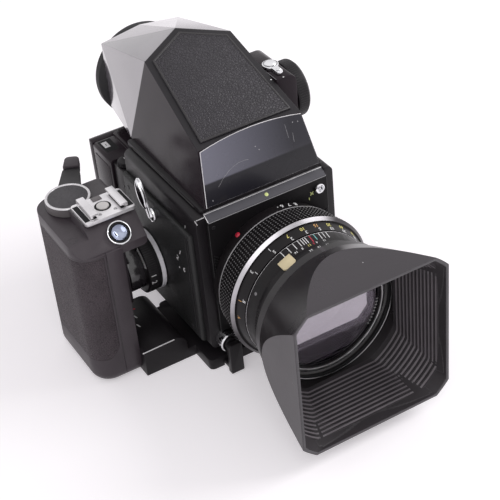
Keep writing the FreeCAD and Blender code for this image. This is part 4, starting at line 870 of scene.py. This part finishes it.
def distance_scale():
    """Plain distances in two rows, metres in white and feet mostly in a warm colour."""
    rows = {"white": [], "yellow": [], "orange": [(".6", 2.4, cone_place(DISTANCE_CONE, 59.6, -88))]}
    for angle, near, far in (
            (-73, "1", ".8"), (-48, "3", "1"), (-27, "1", "5"), (-10, "7", "2"), (3, "10", "3"),
            (15, "15", "5"), (27, "30", "10"), (40, "60", "20"), (54, "99", "30")):
        rows["white"].append((far, 2.8, cone_place(DISTANCE_CONE, 62.0, angle + 1.5)))
        colour = "orange" if angle in (15, -73) else ("yellow" if angle > -20 else "white")
        rows[colour].append((near, 2.9, cone_place(DISTANCE_CONE, 59.5, angle)))
    for colour, finish in (("white", WHITE_MARK), ("yellow", YELLOW_MARK), ("orange", ORANGE_MARK)):
        marks("distance_numbers_" + colour, finish, "focus_ring", words=rows[colour])


def depth_scale():
    """Depth of field lines with their stops, the red and blue index lines and a grey dot."""
    stops = (-22.5, -16.5, -11, -6.5, -4, -2, 0, 12.6, 19.5)
    for name, finish, bars, numbers in (
            ("white", WHITE_MARK, [*((4.4, 0.42, 66.8, angle) for angle in stops), (4.2, 0.34, 66.7, 16)],
             [("22", 2.0, -20), ("16", 2.0, -13.5), ("8", 2.0, -7.5), ("4", 2.0, 6), ("11", 2.0, 13)]),
            ("red", RED_MARK, [(5.0, 0.5, 67.1, 4)], [("5", 2.0, 3)]),
            ("cyan", CYAN_MARK, [(4.2, 0.42, 66.7, 8)], []),
            ("yellow", YELLOW_MARK, [], [("11", 2.1, -1)])):
        marks("depth_scale_" + name, finish, "lens_barrel",
              [(length, width, cone_place(DEPTH_CONE, h, angle)) for length, width, h, angle in bars],
              words=[(text, size, cone_place(DEPTH_CONE, 70.3, angle)) for text, size, angle in numbers])
    marks("depth_scale_grey_dot", GREY_MARK, "lens_barrel",
          dots=[(0.9, cone_place(DEPTH_CONE, 67.5, -60), 0.06)])
    rim("depth_ring_rear_line", THIN_BRIGHT, "lens_barrel", 37.95, 0.09, shifted(LENS, 0, 0, 64.4), 144)


def aperture_scale():
    """Stop numbers and the milled grips on both sides of the ring."""
    stops = enumerate(("22", "16", "11", "8", "5", "4", "2"))
    marks("aperture_numbers", WHITE_MARK, "aperture_ring",
          dots=[(0.35, ring_place(37.4, 75.2, angle)) for angle in (32, 37, 41)],
          words=[(text, 2.2, ring_place(37.42, 75.2, -4 + i * 7.5)) for i, text in stops])
    turns = [start + i * 2.6 for start, count in ((-118, 20), (66, 20), (165, 11)) for i in range(count)]
    bricks("aperture_grips", LENS_BLACK, "aperture_ring",
           [(ring_place(37.35, 75.0, turn), 0.8, 4.4, 0.32) for turn in turns], 0.12)


def lens_flange_marks():
    """Three plain numbers and a dot on the rear ring, and the red dot that seats the lens."""
    numbers = ((9, "6"), (15.5, "7"), (22, "8"))
    marks("lens_flange_numbers", WHITE_MARK, "lens_flange", dots=[(0.4, ring_place(37.8, 33.3, 5))],
          words=[(text, 3.9, ring_place(37.82, 33.3, angle)) for angle, text in numbers])
    red = bmesh.new()
    bmesh.ops.create_uvsphere(red, u_segments=20, v_segments=10, radius=1.5,
                              matrix=ring_place(37.8, 33.3, -35.2) @ Matrix.Diagonal((1, 1, 0.55, 1)))
    finished("lens_red_dot", red, RED_MARK, "lens_flange")


def filter_rim():
    """Fine threads inside the filter ring and a row of short ticks on its black face."""
    threads("filter_ring_threads", LENS_BLACK, "filter_ring", (32.5, 33.1), 80.9, 0.75, LENS, 96)
    face = shifted(LENS, 0, 0, 82.15)
    marks("filter_ring_ticks", WHITE_MARK, "filter_ring",
          [(1.4, 0.35, shifted(turned_by(face, -100 - i * 3.5), 0, 31.6)) for i in range(9)])


focus_ring()
distance_scale()
depth_scale()
aperture_scale()
lens_flange_marks()
filter_rim()


# Front of the body
PANEL_Y = -30.0
BAR_LENGTH = 72.4
BAR_OUT = (0, -3.3, 5.1)
BAR_PLACE = frame_at((0, -27.47, 97.82), BAR_OUT)


def panel_marks():
    """The index dot and the flash mark."""
    marks("body_index_dot", INDEX_YELLOW, "front_panel",
          dots=[(1.25, frame_at((0.5, -27.55, 97.75), BAR_OUT), 0.1)])
    cross = ahead(26.6, PANEL_Y, 88.6)
    marks("flash_mark", INDEX_YELLOW, "front_panel",
          [(2.6, 0.5, turned_by(cross, 45), 0.05), (2.6, 0.5, turned_by(cross, -45), 0.05),
           (1.6, 0.45, ahead(24.8, PANEL_Y, 85.8), 0.05)])


def panel_details():
    """The ribbed patches beside the lens, and pale strips along the panel's edges and the raised bar's rims
    that are painted highlights.
    """
    bricks("panel_finger_ribs", PANEL_BLACK, "front_panel",
           [(turned_by(ahead(side * 33.6, PANEL_Y, 54.6 + i * 1.9), side * 38), 4.6, 0.7, 0.45)
            for side in (-1, 1) for i in range(11)], 0.12)
    # Pale strips on edges: painted highlights.
    marks("panel_bar_painted_highlights", EDGE_GREY, "front_panel",
          [(72.2, 0.34, turned_by(frame_at((0, y, z), (0, -1, 0.6)), 90), 0.06)
           for z, y in ((96.25, -30.02), (99.45, -24.98))])
    marks("panel_side_painted_highlights", EDGE_DIM, "front_panel",
          [(78.0, 0.2, ahead(side * 36.35, PANEL_Y, 56.2), 0.05) for side in (-1, 1)])
    bricks("name_bar_face", BAR_GREY, "front_panel", [(BAR_PLACE, BAR_LENGTH, 5.3, 0.08)], 0.03)
    bricks("name_bar_painted_highlights", PLATE_EDGE, "front_panel",
           [(shifted(BAR_PLACE, 0, 2.5, 0.05), BAR_LENGTH, 0.32, 0.07),
            (shifted(BAR_PLACE, -36.0, 0, 0.05), 0.34, 5.2, 0.07)])
    spots = [(ahead(x, PANEL_Y, z), 35 * x)
             for x, z in ((-33.5, 40.0), (33.5, 40.0), (-33.5, 92.6), (12.0, 17.2))]
    screw_heads("front_panel_screws", "front_panel", spots, 1.1, BODY_BLACK)


def corner_painted_highlight():
    """A painted highlight: pale metal strips along the casing's top front corner on the grip side."""
    bricks("casing_corner_painted_highlight", PLATE_EDGE, "casing",
           [(ahead(-39.3, -27.28, 99.0), 4.6, 0.55, 0.12),
            (turned_by(ahead(-41.85, -27.28, 97.6), 20), 0.5, 3.4, 0.12)], 0.05)


def button_rims():
    """Bright rings round the lens release and the shutter button, with the button's ribbed collar."""
    rim("lens_release_rim", CHROME, "front_panel", 3.4, 0.5, ahead(30.5, -31.55, 21.5), 40)
    rim("shutter_ring", CHROME, "shutter_collar", 5.2, 0.4, ahead(-33.8, -34.45, 17.5), 48)
    collar = ahead(-33.8, -32.0, 17.5)
    bricks("shutter_collar_ribs", CHROME, "shutter_collar",
           [(shifted(turned_by(collar, i * 15), 5.8, 0), 0.3, 0.55, 2.2) for i in range(24)])


panel_marks()
panel_details()
corner_painted_highlight()
button_rims()


# Finder: the painted highlight along the front plate's edge, its scratches, and the leather's border
FINDER_BROW = (Vector((-31.0, -16.8, 131.8)), Vector((31.0, -16.8, 131.8)))
FINDER_BASE_LEFT = Vector((-35.3, -26.0, 102.2))
FINDER_PEAK = (Vector((26.4, 44.4, 155.2)), Vector((0, 58.1, 160.4)), Vector((-26.4, 44.4, 155.2)))
PLATE_OUT = Vector((0, -29.6, 9.2)).normalized()
PLATE_RISE = Vector((0, 9.2, 29.6)).normalized()


def finder_plate_edge():
    """A painted highlight: a pale bead along the front plate's top and near side."""
    lift = PLATE_OUT * 0.95
    left = FINDER_BROW[0] + Vector((0.8, 0, 0)) - PLATE_RISE * 0.8 + lift
    right = FINDER_BROW[1] - Vector((0.8, 0, 0)) - PLATE_RISE * 0.8 + lift
    arch = FINDER_BROW[0].lerp(FINDER_BROW[1], 0.5) + PLATE_RISE * 2.5 + lift - left.lerp(right, 0.5)
    points = [FINDER_BASE_LEFT + Vector((0.9, 0, 0)) + PLATE_RISE * 0.8 + lift, left]
    for i in range(1, 11):
        t = i / 10
        points.append(left.lerp(right, t) + arch * (1 - (2 * t - 1) ** 2))
    beads("front_plate_painted_highlight", PLATE_EDGE, "finder_front_plate",
          [(start, end, 0.2) for start, end in zip(points, points[1:])], sharp=60.0)


def leather_border():
    """A smooth folded border round the leather of the roof."""
    shape = bmesh.new()
    corners = [*FINDER_BROW, *FINDER_PEAK]
    centre = sum(corners, Vector()) / len(corners)

    def middle_face():
        return min(shape.faces, key=lambda face: (face.calc_center_median() - centre).length)

    whole = shape.faces.new([shape.verts.new(corner) for corner in corners])
    whole.normal_update()
    up = whole.normal.copy()
    if up.z < 0:
        up = -up
    bmesh.ops.inset_individual(shape, faces=[whole], thickness=3.75, use_even_offset=True)
    bmesh.ops.inset_individual(shape, faces=[middle_face()], thickness=1.1, use_even_offset=True)
    inside = middle_face()
    outside = [face for face in shape.faces if face is not inside and any(
        (vert.co - corner).length < 0.01 for vert in face.verts for corner in corners)]
    bmesh.ops.delete(shape, geom=outside + [inside], context="FACES")
    made = bmesh.ops.extrude_face_region(shape, geom=list(shape.faces))["geom"]
    lifted = [item for item in made if isinstance(item, bmesh.types.BMVert)]
    bmesh.ops.translate(shape, vec=up * 1.12, verts=lifted)
    clean(shape)
    rounded_edges(shape, 0.25)
    finished("leather_border", shape, LEATHER_BORDER, "finder_leather", sharp=50.0)


def plate_spot(x, rise):
    """A place on the polished plate, a height above its foot."""
    return frame_at(Vector((x, -26.0, 102.2)) + PLATE_RISE * rise + PLATE_OUT, PLATE_OUT, PLATE_RISE)


def plate_scratches():
    """Hairline scratches and a few specks on the polished plate."""
    curve = []
    for t in (i / 8 for i in range(9)):
        curve.append(plate_spot(-25.0 + 20.0 * t, 12.5 + 8.0 * t - 3.2 * (2 * t - 1) ** 2).translation)
    specks = [(0.5, 22.5), (2.2, 20.2), (27.5, 26.8), (-30.0, 3.5), (24.5, 27.4)]
    piled("front_plate_scratches", SCRATCH_GREY, "finder_front_plate",
          (bar_mark, [(7.5, 0.16, turned_by(plate_spot(20.0, 24.0), 4), 0.015),
                      (5.0, 0.16, turned_by(plate_spot(23.0, 19.5), -3), 0.015)]),
          (run_of, [(start, end, 0.07, 4) for start, end in zip(curve, curve[1:])]),
          (dot_mark, [(0.32, plate_spot(x, rise), 0.03, 8) for x, rise in specks]), sharp=60.0)


finder_plate_edge()
leather_border()
plate_scratches()


# Grip, winder and accessory shoe
WING_TOP = 17.0
LEVER_HUB = above(-85.5, 36.3, 97.3)
SHOE_X = -75.5
SHOE_TOP = 100.5
WINDER = (30.0, 42.5)
COVER_X = 45.0


def wing_trim():
    """The bright line along the wing's front edge and the small marks on its top."""
    beads("wing_bright_line", PLATE_EDGE, "base_plate",
          [((-77.2, -13.05, 16.6), (-57.6, -13.05, 16.9), 0.32)])
    marks("wing_red_mark", RED_MARK, "base_plate", dots=[(0.8, above(-63.7, 24.2, WING_TOP), 0.08)])
    marks("wing_white_marks", WHITE_MARK, "base_plate",
          [(3.2, width, frame_at((x, y, WING_TOP), UP, (0.25, -1, 0)))
           for width, x, y in ((0.9, -66.2, 17.5), (0.8, -68.4, 9.5))],
          [(0.7, above(-65.3, 24.6, WING_TOP), 0.06)])


def lever_top():
    """The lever's hub: a bright rim round a leatherette disc, and the skirt below them."""
    turned("lever_hub_rim", PLATE_EDGE, "wind_lever",
           [(10.9, -0.3), (12.45, -0.3), (12.45, 0.15), (12.2, 0.5), (11.2, 0.5), (10.9, 0.2), (10.9, -0.3)],
           LEVER_HUB, 72)
    turned("lever_hub_leather", CAP_LEATHER, "wind_lever",
           [(0, -0.1), (10.95, -0.1), (10.95, 0.25), (10.6, 0.4), (0, 0.45)], LEVER_HUB, 64)
    turned("lever_hub_skirt", HUB_GREY, "wind_lever",
           [(11.4, -4.4), (12.55, -4.4), (12.6, -0.3), (11.4, -0.3), (11.4, -4.4)], LEVER_HUB, 72)


def release_rims():
    """Turned rings round the grip's release and its domed button."""
    place = frame_at((-74.6, -1.2, 90.4), (0, -11, 12), REARWARD)
    rim("release_ring_rim", CHROME, "release_ring", 6.15, 0.42, shifted(place, 0, 0, 1.95), 56)
    finished("release_ring_groove", band(4.7, 5.75, 1.9, 2.03, place, 56), INNER_BLACK, "release_ring")
    turned("release_button_body", BUTTON_BLUE, "release_button",
           [(0, 2.45), (1.6, 2.5), (2.7, 2.75), (3.2, 3.1), (3.7, 3.1), (4.2, 2.7), (4.5, 2.0), (4.5, 1.2),
            (0, 1.2)], place, 48, ("release_button",), 50.0)


def shoe_details():
    """The shoe's spring slots and screws, its contact in a dark ring and the stop behind it."""
    slots = []
    for side in (-1, 1):
        slots += [(above(SHOE_X + side * 8.0, 12.4, SHOE_TOP), 2.0, 15.5, 0.12),
                  (above(SHOE_X + side * 12.55, 12.6, SHOE_TOP), 3.0, 16.4, 0.1),
                  (ahead(SHOE_X + side * 9.1, 4.02, 101.2), 3.4, 0.5, 0.06)]
    bricks("shoe_dark_slots", INNER_BLACK, "accessory_shoe", slots)
    ring = band(3.45, 4.5, 1.95, 2.06, above(SHOE_X, 12.75, 98.5), 48)
    finished("shoe_contact_ring", ring, INNER_BLACK, "accessory_shoe")
    turned("shoe_contact_body", SHOE_PALE, "shoe_contact",
           [(0, 0.62), (2.6, 0.62), (3.3, 0.5), (3.38, 0.2), (3.38, -0.6), (0, -0.6)],
           above(SHOE_X, 12.75, SHOE_TOP), 40, ("shoe_contact",), 50.0)
    bricks("shoe_back_stop", HUB_GREY, "accessory_shoe",
           [(above(SHOE_X, 20.6, SHOE_TOP), 5.2, 3.6, 0.5)], 0.15, 2)
    screw_heads("shoe_screws", "accessory_shoe",
                [(above(SHOE_X + side * 4.4, 6.4, SHOE_TOP), 40) for side in (-1, 1)], 1.0)


def stud_rims():
    """Bright rings round the strap studs, with dark wells, and the leaf of a strap clip."""
    rims, wells, leaf = bmesh.new(), bmesh.new(), bmesh.new()
    for side in (-1, 1):
        place = aside(side, 48.0, 16.0, 81.0)
        added(rims, round_rim(4.0, 0.45, place, 40))
        added(wells, lathe([(0, -0.2), (3.6, -0.2), (3.6, 0.06), (0, 0.06)], place, 40))
    finished("strap_stud_rims", rims, CHROME, "strap_studs")
    finished("strap_stud_wells", wells, INNER_BLACK, "strap_studs")
    along = frame_at((-49.4, 20.4, 91.5), (-1, 0, 0), (0, 7.3, 16.6))
    bmesh.ops.create_uvsphere(leaf, u_segments=32, v_segments=16, radius=1.0,
                              matrix=shifted(along, 0, 1.2, 0.4) @ Matrix.Diagonal((3.3, 8.6, 2.2, 1)))
    bmesh.ops.bisect_plane(leaf, geom=leaf.verts[:] + leaf.edges[:] + leaf.faces[:], plane_co=(-49.0, 0, 0),
                           plane_no=RIGHT, clear_outer=True)
    finished("strap_clip_leaf", leaf, CHROME, "strap_studs", sharp=50.0)


def winder_details():
    """The winding disc's silver rear rim in a near white that paints in its bright reflection, its pointer
    and numbers, and the drum's turned edge.
    """
    place = aside(-1, 45.5, *WINDER)
    rear_rim = band(17.2, 18.15, 0.05, 2.6, place, 96, 0.25)
    finished("wind_disc_bright_rim", rear_rim, DISC_RIM_PAINTED_REFLECTION, "wind_disc")
    finished("wind_disc_groove", band(17.0, 17.87, 3.4, 3.9, place, 96), INNER_BLACK, "wind_disc")
    bricks("wind_disc_knurl", BODY_BLACK, "wind_disc",
           [(shifted(turned_by(place, 360.0 * i / 84), 17.75, 0, 4.8), 0.35, 0.55, 5.2) for i in range(84)])
    face = aside(-1, 56.3, *WINDER)
    bricks("wind_disc_pointer", WHITE_MARK, "wind_disc",
           [(shifted(turned_by(face, -28 - i * 5.4), 0, 15.75), 1.65, 2.9, 0.1) for i in range(8)])
    numbers = []
    for angle, text in ((math.radians(176), "1"), (math.radians(191), "2")):
        out = Vector((0, math.cos(angle), math.sin(angle)))
        numbers.append((text, 4.4, frame_at(Vector((-53.5, *WINDER)) + out * 17.98, out, RIGHT)))
    marks("wind_disc_numbers", WHITE_MARK, "wind_disc", words=numbers)
    rim("drum_front_edge", EDGE_GREY, "coupling_drum", 13.75, 0.25, aside(-1, 56.7, *WINDER), 80)


def side_numbers():
    """Plain numbers and a dot beside the winding disc, and index marks above it."""
    ticks = ((-8.9, 84.0, 2.6, 60), (-13.3, 87.2, 2.2, -20), (-12.0, 84.8, 1.6, 40))
    numbers = ((-4.8, 63.1, "2", -30), (-11.4, 58.8, "6", -20), (-9.0, 69.0, "1", -25))
    marks("side_numbers", WHITE_MARK, "casing",
          [(length, 0.5, turned_by(aside(-1, 42.0, y, z), turn)) for y, z, length, turn in ticks],
          [(0.6, aside(-1, COVER_X, -5.6, 57.0))],
          [(text, 5.0, turned_by(aside(-1, COVER_X, y, z), turn)) for y, z, text, turn in numbers])


def cover_ribs():
    """Raised ribs along each side cover's front edge, and its screws."""
    for side, name in ((-1, "side_cover_right"), (1, "side_cover_left")):
        bricks(name + "_ribs", BODY_BLACK, name,
               [(aside(side, COVER_X, y, 50.5), 0.7, 66.0, 0.3) for y in (-20.2, -17.8)], 0.12)
        spots = [(aside(side, COVER_X, y, z), 30 + y * 7)
                 for y, z in ((-12.0, 20.0), (50.0, 20.0), (50.0, 79.0))]
        if side > 0:
            spots.append((aside(side, COVER_X, -12.0, 79.0), 15))
        screw_heads(name + "_screws", name, spots, 1.4, BODY_BLACK)


def grip_details():
    """The seam of the grip's inner strip, the cap's joint lines and plug, and screws."""
    beads("grip_strip_seam", EDGE_DIM, "grip_strip", [((-86.05, -8.02, 17.0), (-86.05, -8.02, 80.8), 0.12)])
    beads("grip_cap_edges", EDGE_DIM, "grip_cap",
          [((-90.5, 23.5, 98.45), (-90.5, 6.2, 98.45), 0.16),
           ((-61.1, 19.0, 98.4), (-61.1, 7.0, 98.4), 0.16)])
    rim("grip_cap_plug", EDGE_DIM, "grip_cap", 2.3, 0.16, above(-97.8, 5.2, 92.3), 32)
    screw_heads("grip_rear_screws", "grip_shell",
                [(aside(1, -76.45, 46.0, z), z) for z in (12.0, 78.0)], 1.6, BODY_BLACK)
    spots = [(aside(1, -66.0, y, z), y * 9) for z in (80.0, 62.0) for y in (20.0, 40.0)]
    screw_heads("gear_case_screws", "gear_case", spots, 1.5, BODY_BLACK)


wing_trim()
lever_top()
release_rims()
shoe_details()
stud_rims()
winder_details()
side_numbers()
cover_ribs()
grip_details()


# Dials
SWITCH_PIVOT = (34.0, 17.0)
FILM_DIAL = (-38.0, 64.5)


def dial_flutes(name, carrier, place, radius, taper, low, high, count):
    """The milled edge of a dial, leaned in by its taper."""
    shape = bmesh.new()
    lean = Matrix.Rotation(math.radians(-taper), 4, "Y")
    size = Matrix.Diagonal((0.7, radius * 3.0 / count, high - low, 1))
    for i in range(count):
        spot = shifted(turned_by(place, 360.0 * i / count), radius, 0, (low + high) / 2)
        bmesh.ops.create_cube(shape, size=1.0, matrix=spot @ lean @ size)
    rounded_edges(shape, 0.12, 1)
    finished(name, shape, BODY_BLACK, carrier)


def dial_numbers(name, carrier, place, radius, numbers, size, lift):
    """Numbers spaced evenly round a dial."""
    turns = [turned_by(place, -360.0 * i / len(numbers)) for i in range(len(numbers))]
    marks(name, WHITE_MARK, carrier,
          words=[(text, size, shifted(turn, 0, radius, lift)) for text, turn in zip(numbers, turns)])


def speed_dial_details():
    """Milled edge, shutter times and a hub on the dial on the left side."""
    place = aside(1, 45.3, 10.0, 50.0)
    dial_flutes("speed_dial_flutes", "speed_dial", place, 14.3, 8.1, 1.0, 6.4, 56)
    times = ("500", "250", "125", "60", "30", "15", "8", "4", "2", "1")
    dial_numbers("speed_dial_numbers", "speed_dial", place, 11.3, times, 2.4, 7.0)
    turned("speed_dial_hub", STEEL, "speed_dial",
           [(0, 6.9), (7.4, 6.9), (7.4, 7.3), (6.9, 7.6), (0, 7.6)], place, 56)
    rim("speed_dial_groove", EDGE_GREY, "speed_dial", 8.2, 0.2, shifted(place, 0, 0, 7.0), 56)


def meter_details():
    """Milled rim, film speeds and a hub on the exposure dial, and the switch on top of its case."""
    place = aside(1, 42.3, 19.1, 123.5)
    dial_flutes("meter_dial_flutes", "meter_dial", place, 15.85, 0.0, 0.8, 6.3, 72)
    speeds = ("25", "50", "100", "200", "400", "800", "16", "32")
    dial_numbers("meter_dial_numbers", "meter_dial", place, 12.0, speeds, 2.6, 8.02)
    rim("meter_dial_ring", STEEL, "meter_dial", 9.2, 0.25, shifted(place, 0, 0, 8.0), 56)
    turned("meter_dial_hub", HUB_GREY, "meter_dial",
           [(0, 7.9), (5.6, 7.9), (5.6, 8.3), (5.2, 8.55), (0, 8.6)], place, 48)
    knob = above(*SWITCH_PIVOT, 144.3)
    turned("meter_switch_hub", CHROME, "meter_switch",
           [(0, -0.1), (3.3, -0.1), (3.3, 0.35), (2.7, 0.8), (0, 0.85)], knob, 40)
    rim("meter_switch_groove", INNER_BLACK, "meter_switch", 3.75, 0.14, knob, 40)
    turned("meter_switch_tip", CHROME, "meter_switch",
           [(0, -0.1), (1.5, -0.1), (1.5, 0.5), (1.1, 0.8), (0, 0.85)], shifted(knob, 0, 8.8), 24)
    pivot = above(*SWITCH_PIVOT, 142.0)
    reach = [(0.5, turned_by(shifted(turned_by(pivot, -turn), 0, 13.2), turn)) for turn in (0, 30)]
    marks("meter_switch_marks", WHITE_MARK, "meter_case", dots=reach)
    beads("meter_case_edges", EDGE_GREY, "meter_case",
          [((41.95, 5.0, 137.2), (41.95, 37.0, 137.2), 0.2),
           ((29.6, 4.0, 141.95), (29.6, 38.0, 141.95), 0.15)])


def film_dial_details():
    """An arrow and a milled edge on the film dial."""
    place = above(*FILM_DIAL, 87.2)
    tips = [(1.8, 0.6, turned_by(shifted(place, 0.5 * math.sin(math.radians(turn)), 2.0), turn))
            for turn in (35, -35)]
    marks("film_dial_arrow", WHITE_MARK, "film_dial", [(5.0, 0.6, place), *tips])
    dial_flutes("film_dial_flutes", "film_dial", above(*FILM_DIAL, 84.6), 4.75, 11.0, 0.3, 2.3, 28)


speed_dial_details()
meter_details()
film_dial_details()


# Roll film back, finder rear and underside
BACK_TOP = 85.8
BACK_SIDE_X = 45.0
FLANGE_X = 37.5
FLANGE_Z = 100.9


def back_top_details():
    """The film counter's window, the catch and an index on top of the back."""
    bricks("counter_window", WHITE_MARK, "back_shell", [(above(-39.6, 87.6, BACK_TOP), 3.4, 6.6, 0.12)], 0.05)
    bricks("counter_surround", INNER_BLACK, "back_shell", [(above(-38.6, 86.2, BACK_TOP), 8.0, 13.0, 0.06)])
    marks("counter_number", INNER_BLACK, "back_shell",
          words=[("1", 3.0, above(-39.6, 87.6, BACK_TOP + 0.13), 0.02)])
    bricks("back_catch", BODY_BLACK, "back_shell",
           [(above(4.0, 80.6, 88.2), 22.0, 7.0, 0.45), (above(4.0, 80.6, 88.6), 9.0, 4.0, 0.5)], 0.2, 2)
    bricks("back_catch_ribs", STEEL, "back_shell",
           [(above(1.0 + i * 1.2, 80.6, 89.05), 0.5, 3.4, 0.2) for i in range(6)])
    arc = above(-36.5, 73.0, BACK_TOP + 0.05)
    bricks("back_top_index", WHITE_MARK, "back_shell",
           [(shifted(turned_by(arc, i * 14), 0, 2.6), 0.75, 0.5, 0.06) for i in range(5)])


def back_side_details():
    """The panels on the sides of the back, its frame's screws, the winding key and the side catch."""
    for side, tag in ((-1, "right"), (1, "left")):
        bricks("back_side_panel_" + tag, FINDER_BLACK, "back_shell",
               [(aside(side, BACK_SIDE_X, 82.3, 49.5), 19.0, 62.0, 0.25)], 0.2, 2)
        screw_heads("back_frame_screws_" + tag, "back_frame",
                    [(aside(side, 43.5, 60.0, z), z) for z in (22.0, 74.0)], 1.2, BODY_BLACK)
    key = aside(1, BACK_SIDE_X + 0.25, 82.0, 68.5)
    turned("film_key_boss", STEEL, "back_shell",
           [(0, -0.1), (6.8, -0.1), (6.8, 0.8), (6.2, 1.3), (0, 1.4)], key, 48)
    bricks("film_key_blade", STEEL, "back_shell",
           [(shifted(turned_by(key, 30), 0, 0, 1.3), 10.5, 2.2, 1.6)], 0.5, 3)
    bricks("back_side_latch", HUB_GREY, "back_shell",
           [(aside(1, BACK_SIDE_X + 0.25, 84.5, 38.0), 5.0, 12.0, 1.2)], 0.5, 3)
    bricks("back_side_latch_ribs", BODY_BLACK, "back_shell",
           [(aside(1, BACK_SIDE_X + 1.45, 84.5, 34.4 + i * 1.2), 4.0, 0.5, 0.25) for i in range(7)])


def door_details():
    """The door's leatherette and its film note frame."""
    place = frame_at((0, 104.8, 49.6), REARWARD)
    note = shifted(place, 0, 9.0)
    bricks("door_leather", FINDER_LEATHER, "back_door", [(place, 74.0, 56.0, 0.5)], 0.22, 2)
    bricks("film_note_holder", BODY_BLACK, "back_door",
           [(shifted(note, 0, 0, 0.45), 34.0, 24.0, 0.6)], 0.3, 2)
    bricks("film_note_card", NOTE_CARD, "back_door", [(shifted(note, 0, 0, 0.95), 29.0, 19.5, 0.14)])
    bricks("film_note_clips", STEEL, "back_door",
           [(shifted(note, -15.2, 0, 0.98), 1.4, 21.5, 0.4), (shifted(note, 15.2, 0, 0.98), 1.4, 21.5, 0.4),
            (shifted(note, 0, -10.3, 0.98), 31.6, 1.4, 0.4)], 0.15)


def slide_details():
    """A ribbed pull on the dark slide."""
    bricks("slide_pull_ribs", STEEL, "dark_slide",
           [(ahead(50.6, 57.3, 30.0 + i * 4.0), 2.2, 0.6, 0.1) for i in range(12)])


def finder_rear_details():
    """The eyepiece's ring, and the screws, rails and catch of the finder's flange."""
    turned("eyepiece_ring", BODY_BLACK, "eyecup",
           [(12.6, 0.0), (15.0, 0.0), (15.0, 0.5), (14.5, 0.9), (13.2, 0.9), (12.6, 0.4), (12.6, 0.0)],
           frame_at((0, 109.0, 113.0), REARWARD), 72)
    screw_heads("finder_flange_screws", "finder_flange",
                [(ahead(x, -25.0, FLANGE_Z), x * 5) for x in (-33.0, 33.0)], 0.9, BODY_BLACK)
    bricks("finder_flange_rails", EDGE_DIM, "finder_flange",
           [(aside(side, FLANGE_X, 17.0, FLANGE_Z), 70.0, 0.6, 0.25) for side in (-1, 1)], 0.1)
    bricks("finder_catch", STEEL, "finder_flange",
           [(aside(1, FLANGE_X, 40.0, FLANGE_Z), 9.0, 2.2, 1.6)], 0.4, 3)


def underside_details():
    """Screws in the base plate and the threads of the tripod socket."""
    heads = bmesh.new()
    for x, y in ((-40.0, -25.0), (36.0, -25.0), (36.0, 28.0), (-40.0, 28.0), (-62.0, 24.0), (-62.0, -6.0)):
        place = frame_at((x, y, 0.0), (0, 0, -1), REARWARD)
        added(heads, round_rim(1.6, 0.16, shifted(place, 0, 0, -0.12), 24))
        bar_mark(heads, 2.4, 0.3, turned_by(place, x * 3), 0.02)
    finished("base_screws", heads, STEEL, "base_plate")
    threads("tripod_threads", BRASS, "tripod_bush", (3.0, 3.2), 0.6, 1.27, above(0, 0, 0), 40)


back_top_details()
back_side_details()
door_details()
slide_details()
finder_rear_details()
underside_details()


# Floor, light and camera
LAMP_AIM = (0, 0, 0.05)


def straight_view(board):
    """1 for rays from the camera, through glass or off gloss, and 0 for the soft light on matt faces."""
    path = board.add("LightPath").outputs
    seen = board.maths("ADD", path["Is Camera Ray"], path["Is Transmission Ray"], clamp=True)
    return board.maths("ADD", seen, path["Is Glossy Ray"], clamp=True)


def floor_finish():
    """A pale floor that stays near white and keeps the shadow."""
    finish, board, shader = blank_finish("pale_floor")
    tone = tone_of(board, (0.87, 0.85, 0.87, 1), (0.86, 0.84, 0.86, 1), 3.0)
    glow = board.mix(straight_view(board), (0, 0, 0, 1), (0.34, 0.325, 0.338, 1))
    board.feed(shader, {"Base Color": tone["Colour"], "Roughness": 0.9, "Specular IOR Level": 0.1,
                        "Emission Color": glow, "Emission Strength": 1.0})
    return finish


def floor():
    shape = bmesh.new()
    bmesh.ops.create_grid(shape, x_segments=1, y_segments=1, size=3.0,
                          matrix=Matrix.Translation((0, 0, -0.0003)))
    mesh = bpy.data.meshes.new("floor")
    shape.to_mesh(mesh)
    shape.free()
    mesh.materials.append(floor_finish())
    piece = bpy.data.objects.new("floor", mesh)
    bpy.context.scene.collection.objects.link(piece)


def soft_box(name, place, size, power):
    lamp = bpy.data.lights.new(name, "AREA")
    lamp.shape = "RECTANGLE"
    lamp.size, lamp.size_y = size
    lamp.energy = power
    holder = bpy.data.objects.new(name, lamp)
    holder.location = place
    holder.rotation_euler = (Vector(LAMP_AIM) - Vector(place)).to_track_quat("-Z", "Y").to_euler()
    bpy.context.scene.collection.objects.link(holder)


def room_light():
    """An even white room: white to the camera and to gloss, softer on matt faces."""
    world = bpy.data.worlds.new("room")
    world.use_nodes = True
    board = Board(world.node_tree)
    strength = board.spread(straight_view(board), 0.0, 1.0, 0.55, 1.0)
    back = world.node_tree.nodes["Background"]
    board.feed(back, {"Color": (1.0, 0.99, 1.0, 1), "Strength": strength})
    bpy.context.scene.world = world


def camera():
    lens = bpy.data.cameras.new("view")
    lens.sensor_width = 36.0
    lens.lens = 101.28
    lens.clip_start = 0.01
    lens.clip_end = 50.0
    holder = bpy.data.objects.new("view", lens)
    holder.location = (-0.28607, -0.56262, 0.51763)
    holder.rotation_euler = tuple(math.radians(a) for a in (52.990, 4.807, -30.688))
    bpy.context.scene.collection.objects.link(holder)
    bpy.context.scene.camera = holder


floor()
soft_box("key_box", (1.35, -0.35, 1.1), (1.0, 1.0), 15.0)
soft_box("fill_box", (-0.7, -1.1, 1.3), (1.2, 1.2), 7.0)
room_light()
camera()
bpy.context.scene.view_settings.view_transform = "Standard"
